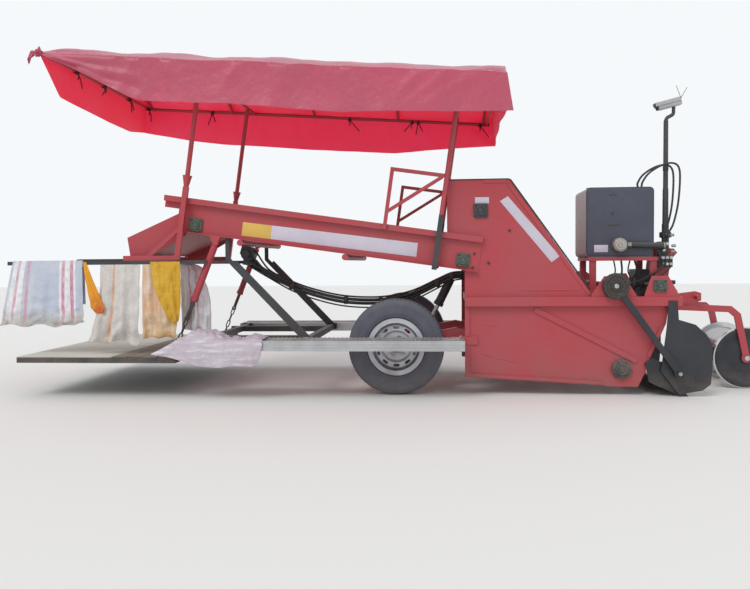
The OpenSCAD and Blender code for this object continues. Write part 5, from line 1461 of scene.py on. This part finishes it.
def makeValveHoses():
    # Its hoses hang to the gearbox and the beam, the tank's drains beside them
    x0, y0, z1 = valve["low"][0], valve["low"][1], valve["high"][2]
    places = [at(x0 + 0.022 + 0.032 * i, y0 - 0.012, z1 - 0.020 - 0.050 * j, "-Y")
              for i in range(3) for j in range(2)]
    places += [at(*place, facing) for place, facing in valve["ports"]]
    profile = [(valve["size"] * wide, valve["length"] * far) for wide, far in valve["fitting"]]
    turned("hoseFittings", profile, places, "chassis", boltSteel, "chrome", 18, 30)
    hoses = []
    for i, (x, y, z) in enumerate(valve["drops"]):
        down = ((x, y + 0.012, z), (x - 0.004, y - 0.020, z - 0.012), (x - 0.020 - 0.02 * i, y - 0.018, z - 0.070),
                (x - 0.075 - 0.04 * i, y + 0.020, z - 0.135), (x - 0.130 - 0.07 * i, y + 0.055, 0.865 - 0.012 * i),
                (x - 0.160 - 0.09 * i, y + 0.110, 0.800))
        hoses.append(trimTube("drop" + str(i), eased(down, 6), 0.0075, hoseRubber, "hose_rubber", sides=10))
    for i, (x, y) in enumerate(valve["drains"]):
        swing = 0.020 * math.sin(2.3 * i + 0.6)
        down = ((x, y, 1.078), (x, y, 1.050), (x + swing, y - 0.012, 0.960), (x - swing, y + 0.010, 0.870),
                (x + 0.5 * swing, y + 0.030, 0.775))
        hoses.append(trimTube("drain" + str(i), eased(down, 6), 0.0080 if i % 2 else 0.0060, hoseRubber,
                              "hose_rubber", sides=10))
    joinedHoses(hoses, "valveHoses")


makeValveBlock()
makeValveHoses()

# Ribbed filter head with its banjo bolt, and the clamps on its line
capProfile = [(0.0, 0.072), (0.012, 0.072), (0.014, 0.078), (0.020, 0.078), (0.022, 0.070), (0.040, 0.070),
              (0.043, 0.064), (0.052, 0.062), (0.056, 0.056), (0.059, 0.052), (0.059, 0.044), (0.056, 0.041),
              (0.056, 0.037), (0.059, 0.034), (0.059, 0.026), (0.056, 0.023), (0.056, 0.019), (0.059, 0.016),
              (0.061, 0.010), (0.061, 0.0004), (0.0, 0.0004)]
filterHead = turned("filterHead", capProfile, [at(1.805, -0.300, 1.173, "-Y")], "chassis", castAluminium,
                    "cap_aluminium", 40, 28)
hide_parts("filter_cap")
clampProfile = [(0.0252, 0.0), (0.0275, 0.0), (0.0275, 0.009), (0.0252, 0.009)]
lineClamps = [at(x, -0.332, z, "+X") for x, z in ((1.868, 1.1725), (1.882, 1.1725), (2.150, 1.1665))]
turned("lineClamps", clampProfile, lineClamps, "chassis", boltSteel, "chrome", 36, 30)
print("valve and filter made")

# Cord ties that hold the roof's cloth to its rails: two turns, a knot and loose ends
ties = {
    "far": (-2.82, -1.41, -0.78, -0.72, -0.105), "near": (-2.3, -0.6), "railY": 1.081,
    "rear": (-0.595, -0.055, 0.515, 1.010), "rearX": -3.486, "z": -0.015,
    "turns": (-0.006, 0.006), "ring": 0.0165, "cord": 0.0038, "knot": 0.019, "lumps": 0.35, "lumpSize": 90,
    "tail": 0.0052, "tailShort": 0.055, "tailStep": 0.030}


def makeTie(index, x, y, alongRail):
    middle = canopyPlace(x, y, ties["z"])
    along = Vector((1, 0, 0)) if alongRail else Vector((0, 1, 0))
    inside = Vector((0, -1 if y > 0 else 1, 0)) if alongRail else Vector((1, 0, 0))
    across = Matrix.Rotation(math.radians(90), 4, "Y" if alongRail else "X")
    made = []
    for turn in ties["turns"]:
        bpy.ops.mesh.primitive_torus_add(major_segments=24, minor_segments=8, major_radius=ties["ring"],
                                         minor_radius=ties["cord"])
        ring = bpy.context.object
        ring.matrix_world = (Matrix.Translation(middle + turn * along)
                             @ Matrix.Rotation(canopyTurn, 4, "Y") @ across)
        made.append(ring)
    bpy.ops.mesh.primitive_ico_sphere_add(subdivisions=2, radius=ties["knot"])
    knot = bpy.context.object
    for vertex in knot.data.vertices:
        vertex.co *= 1 + ties["lumps"] * noise.noise(vertex.co * ties["lumpSize"] + Vector((index, 0, 0)))
    knot.matrix_world = Matrix.Translation(middle + 0.018 * inside + Vector((0, 0, -0.012)))
    made.append(knot)
    for side in (-1, 1):
        reach = ties["tailShort"] + ties["tailStep"] * ((index * 7 + side) % 3)
        root = middle + 0.020 * inside + Vector((-axleX, 0, -0.014))
        lean = 0.45 * side + 0.7 * math.sin(index * 2.2)
        bend = root + 0.35 * reach * lean * along + 0.010 * inside + Vector((0, 0, -0.40 * reach))
        tip = root + 0.85 * reach * lean * along + 0.006 * inside + Vector((0, 0, -reach))
        tail = [tuple(root), tuple(bend), tuple(tip)]
        made.append(trimTube("tail", eased(tail, 4), ties["tail"], edgeRubber, "black_paint"))
    return made


def makeTies():
    spots = [(x, ties["railY"], True) for x in ties["far"]] + [(x, -ties["railY"], True) for x in ties["near"]]
    spots += [(ties["rearX"], y, False) for y in ties["rear"]]
    made = [piece for index, spot in enumerate(spots) for piece in makeTie(index, *spot)]
    settle(joined(made), "canopyTies", "chassis", edgeRubber, "black_paint", 50)


makeTies()

# Flat bars left lying on the rack's rails behind the sacks
rackBar = {"half": 0.023, "low": 1.0755, "high": 1.0915, "edge": 0.0015,
           "bars": (("rackBar", -2.560, -2.160, -0.742), ("rackBarInner", -2.650, -2.240, -0.600))}
for name, x0, x1, y in rackBar["bars"]:
    bar = plainBox((x0 + axleX, y - rackBar["half"], rackBar["low"]),
                   (x1 + axleX, y + rackBar["half"], rackBar["high"]))
    pressFaces(bar, upper, ((0.006, -0.005),))
    settle(bevelled(bar, rackBar["edge"], 2), name, "chassis", blackPaint, "black_paint", 30)
print("ties and bars made")

studio = {
    "floor": 60.0, "floorColour": "#eceae6", "floorRough": 0.9,
    "sky": "#eef2f6", "skyStrength": 0.84, "backdrop": "#f6f9fb",
    "sun": 1.0, "sunAngle": 25, "sunTurn": (42, -14, -12),
    # low soft light from in front, which reaches under the roof as the bright field does
    "glow": 25, "glowSize": (8.0, 2.0), "glowAt": (3.0, -8.8, 1.0), "glowAim": (-0.8, 0.8, 1.9)}

bpy.ops.mesh.primitive_plane_add(size=studio["floor"])
floor = bpy.context.object
floor.name = "floor"
# Pale matt studio floor: lights the underside a little and takes soft shadows
dress(floor, newMaterial("paleStudioFloor", Roughness=studio["floorRough"],
                         Base_Color=linear(studio["floorColour"]))[0])

# Overcast sky, brighter where the camera or a polished surface looks at it
world = bpy.data.worlds.new("world")
bpy.context.scene.world = world
world.use_nodes = True
sky = world.node_tree
light = sky.nodes["Background"]
light.inputs["Color"].default_value = linear(studio["sky"])
light.inputs["Strength"].default_value = studio["skyStrength"]
backdrop = addNode(sky, "Background", {"Color": linear(studio["backdrop"]), "Strength": 1.0})
rays = addNode(sky, "LightPath").outputs
seen = addNode(sky, "Math", {0: rays["Is Camera Ray"], 1: rays["Is Glossy Ray"]}, operation="ADD",
               use_clamp=True).outputs["Value"]
both = addNode(sky, "MixShader", {0: seen, 1: light.outputs[0], 2: backdrop.outputs[0]})
sky.links.new(both.outputs[0], sky.nodes["World Output"].inputs["Surface"])

sun = addObject("sky glow", bpy.data.lights.new("sky glow", "SUN"))
sun.data.energy = studio["sun"]
sun.data.angle = math.radians(studio["sunAngle"])
sun.rotation_euler = [math.radians(turn) for turn in studio["sunTurn"]]
lowGlow = addObject("field glow", bpy.data.lights.new("field glow", "AREA"))
lowGlow.data.shape = "RECTANGLE"
lowGlow.data.size, lowGlow.data.size_y = studio["glowSize"]
lowGlow.data.energy = studio["glow"]
lowGlow.location = studio["glowAt"]
aim = Vector(studio["glowAim"]) - lowGlow.location
lowGlow.rotation_euler = aim.to_track_quat("-Z", "Y").to_euler()
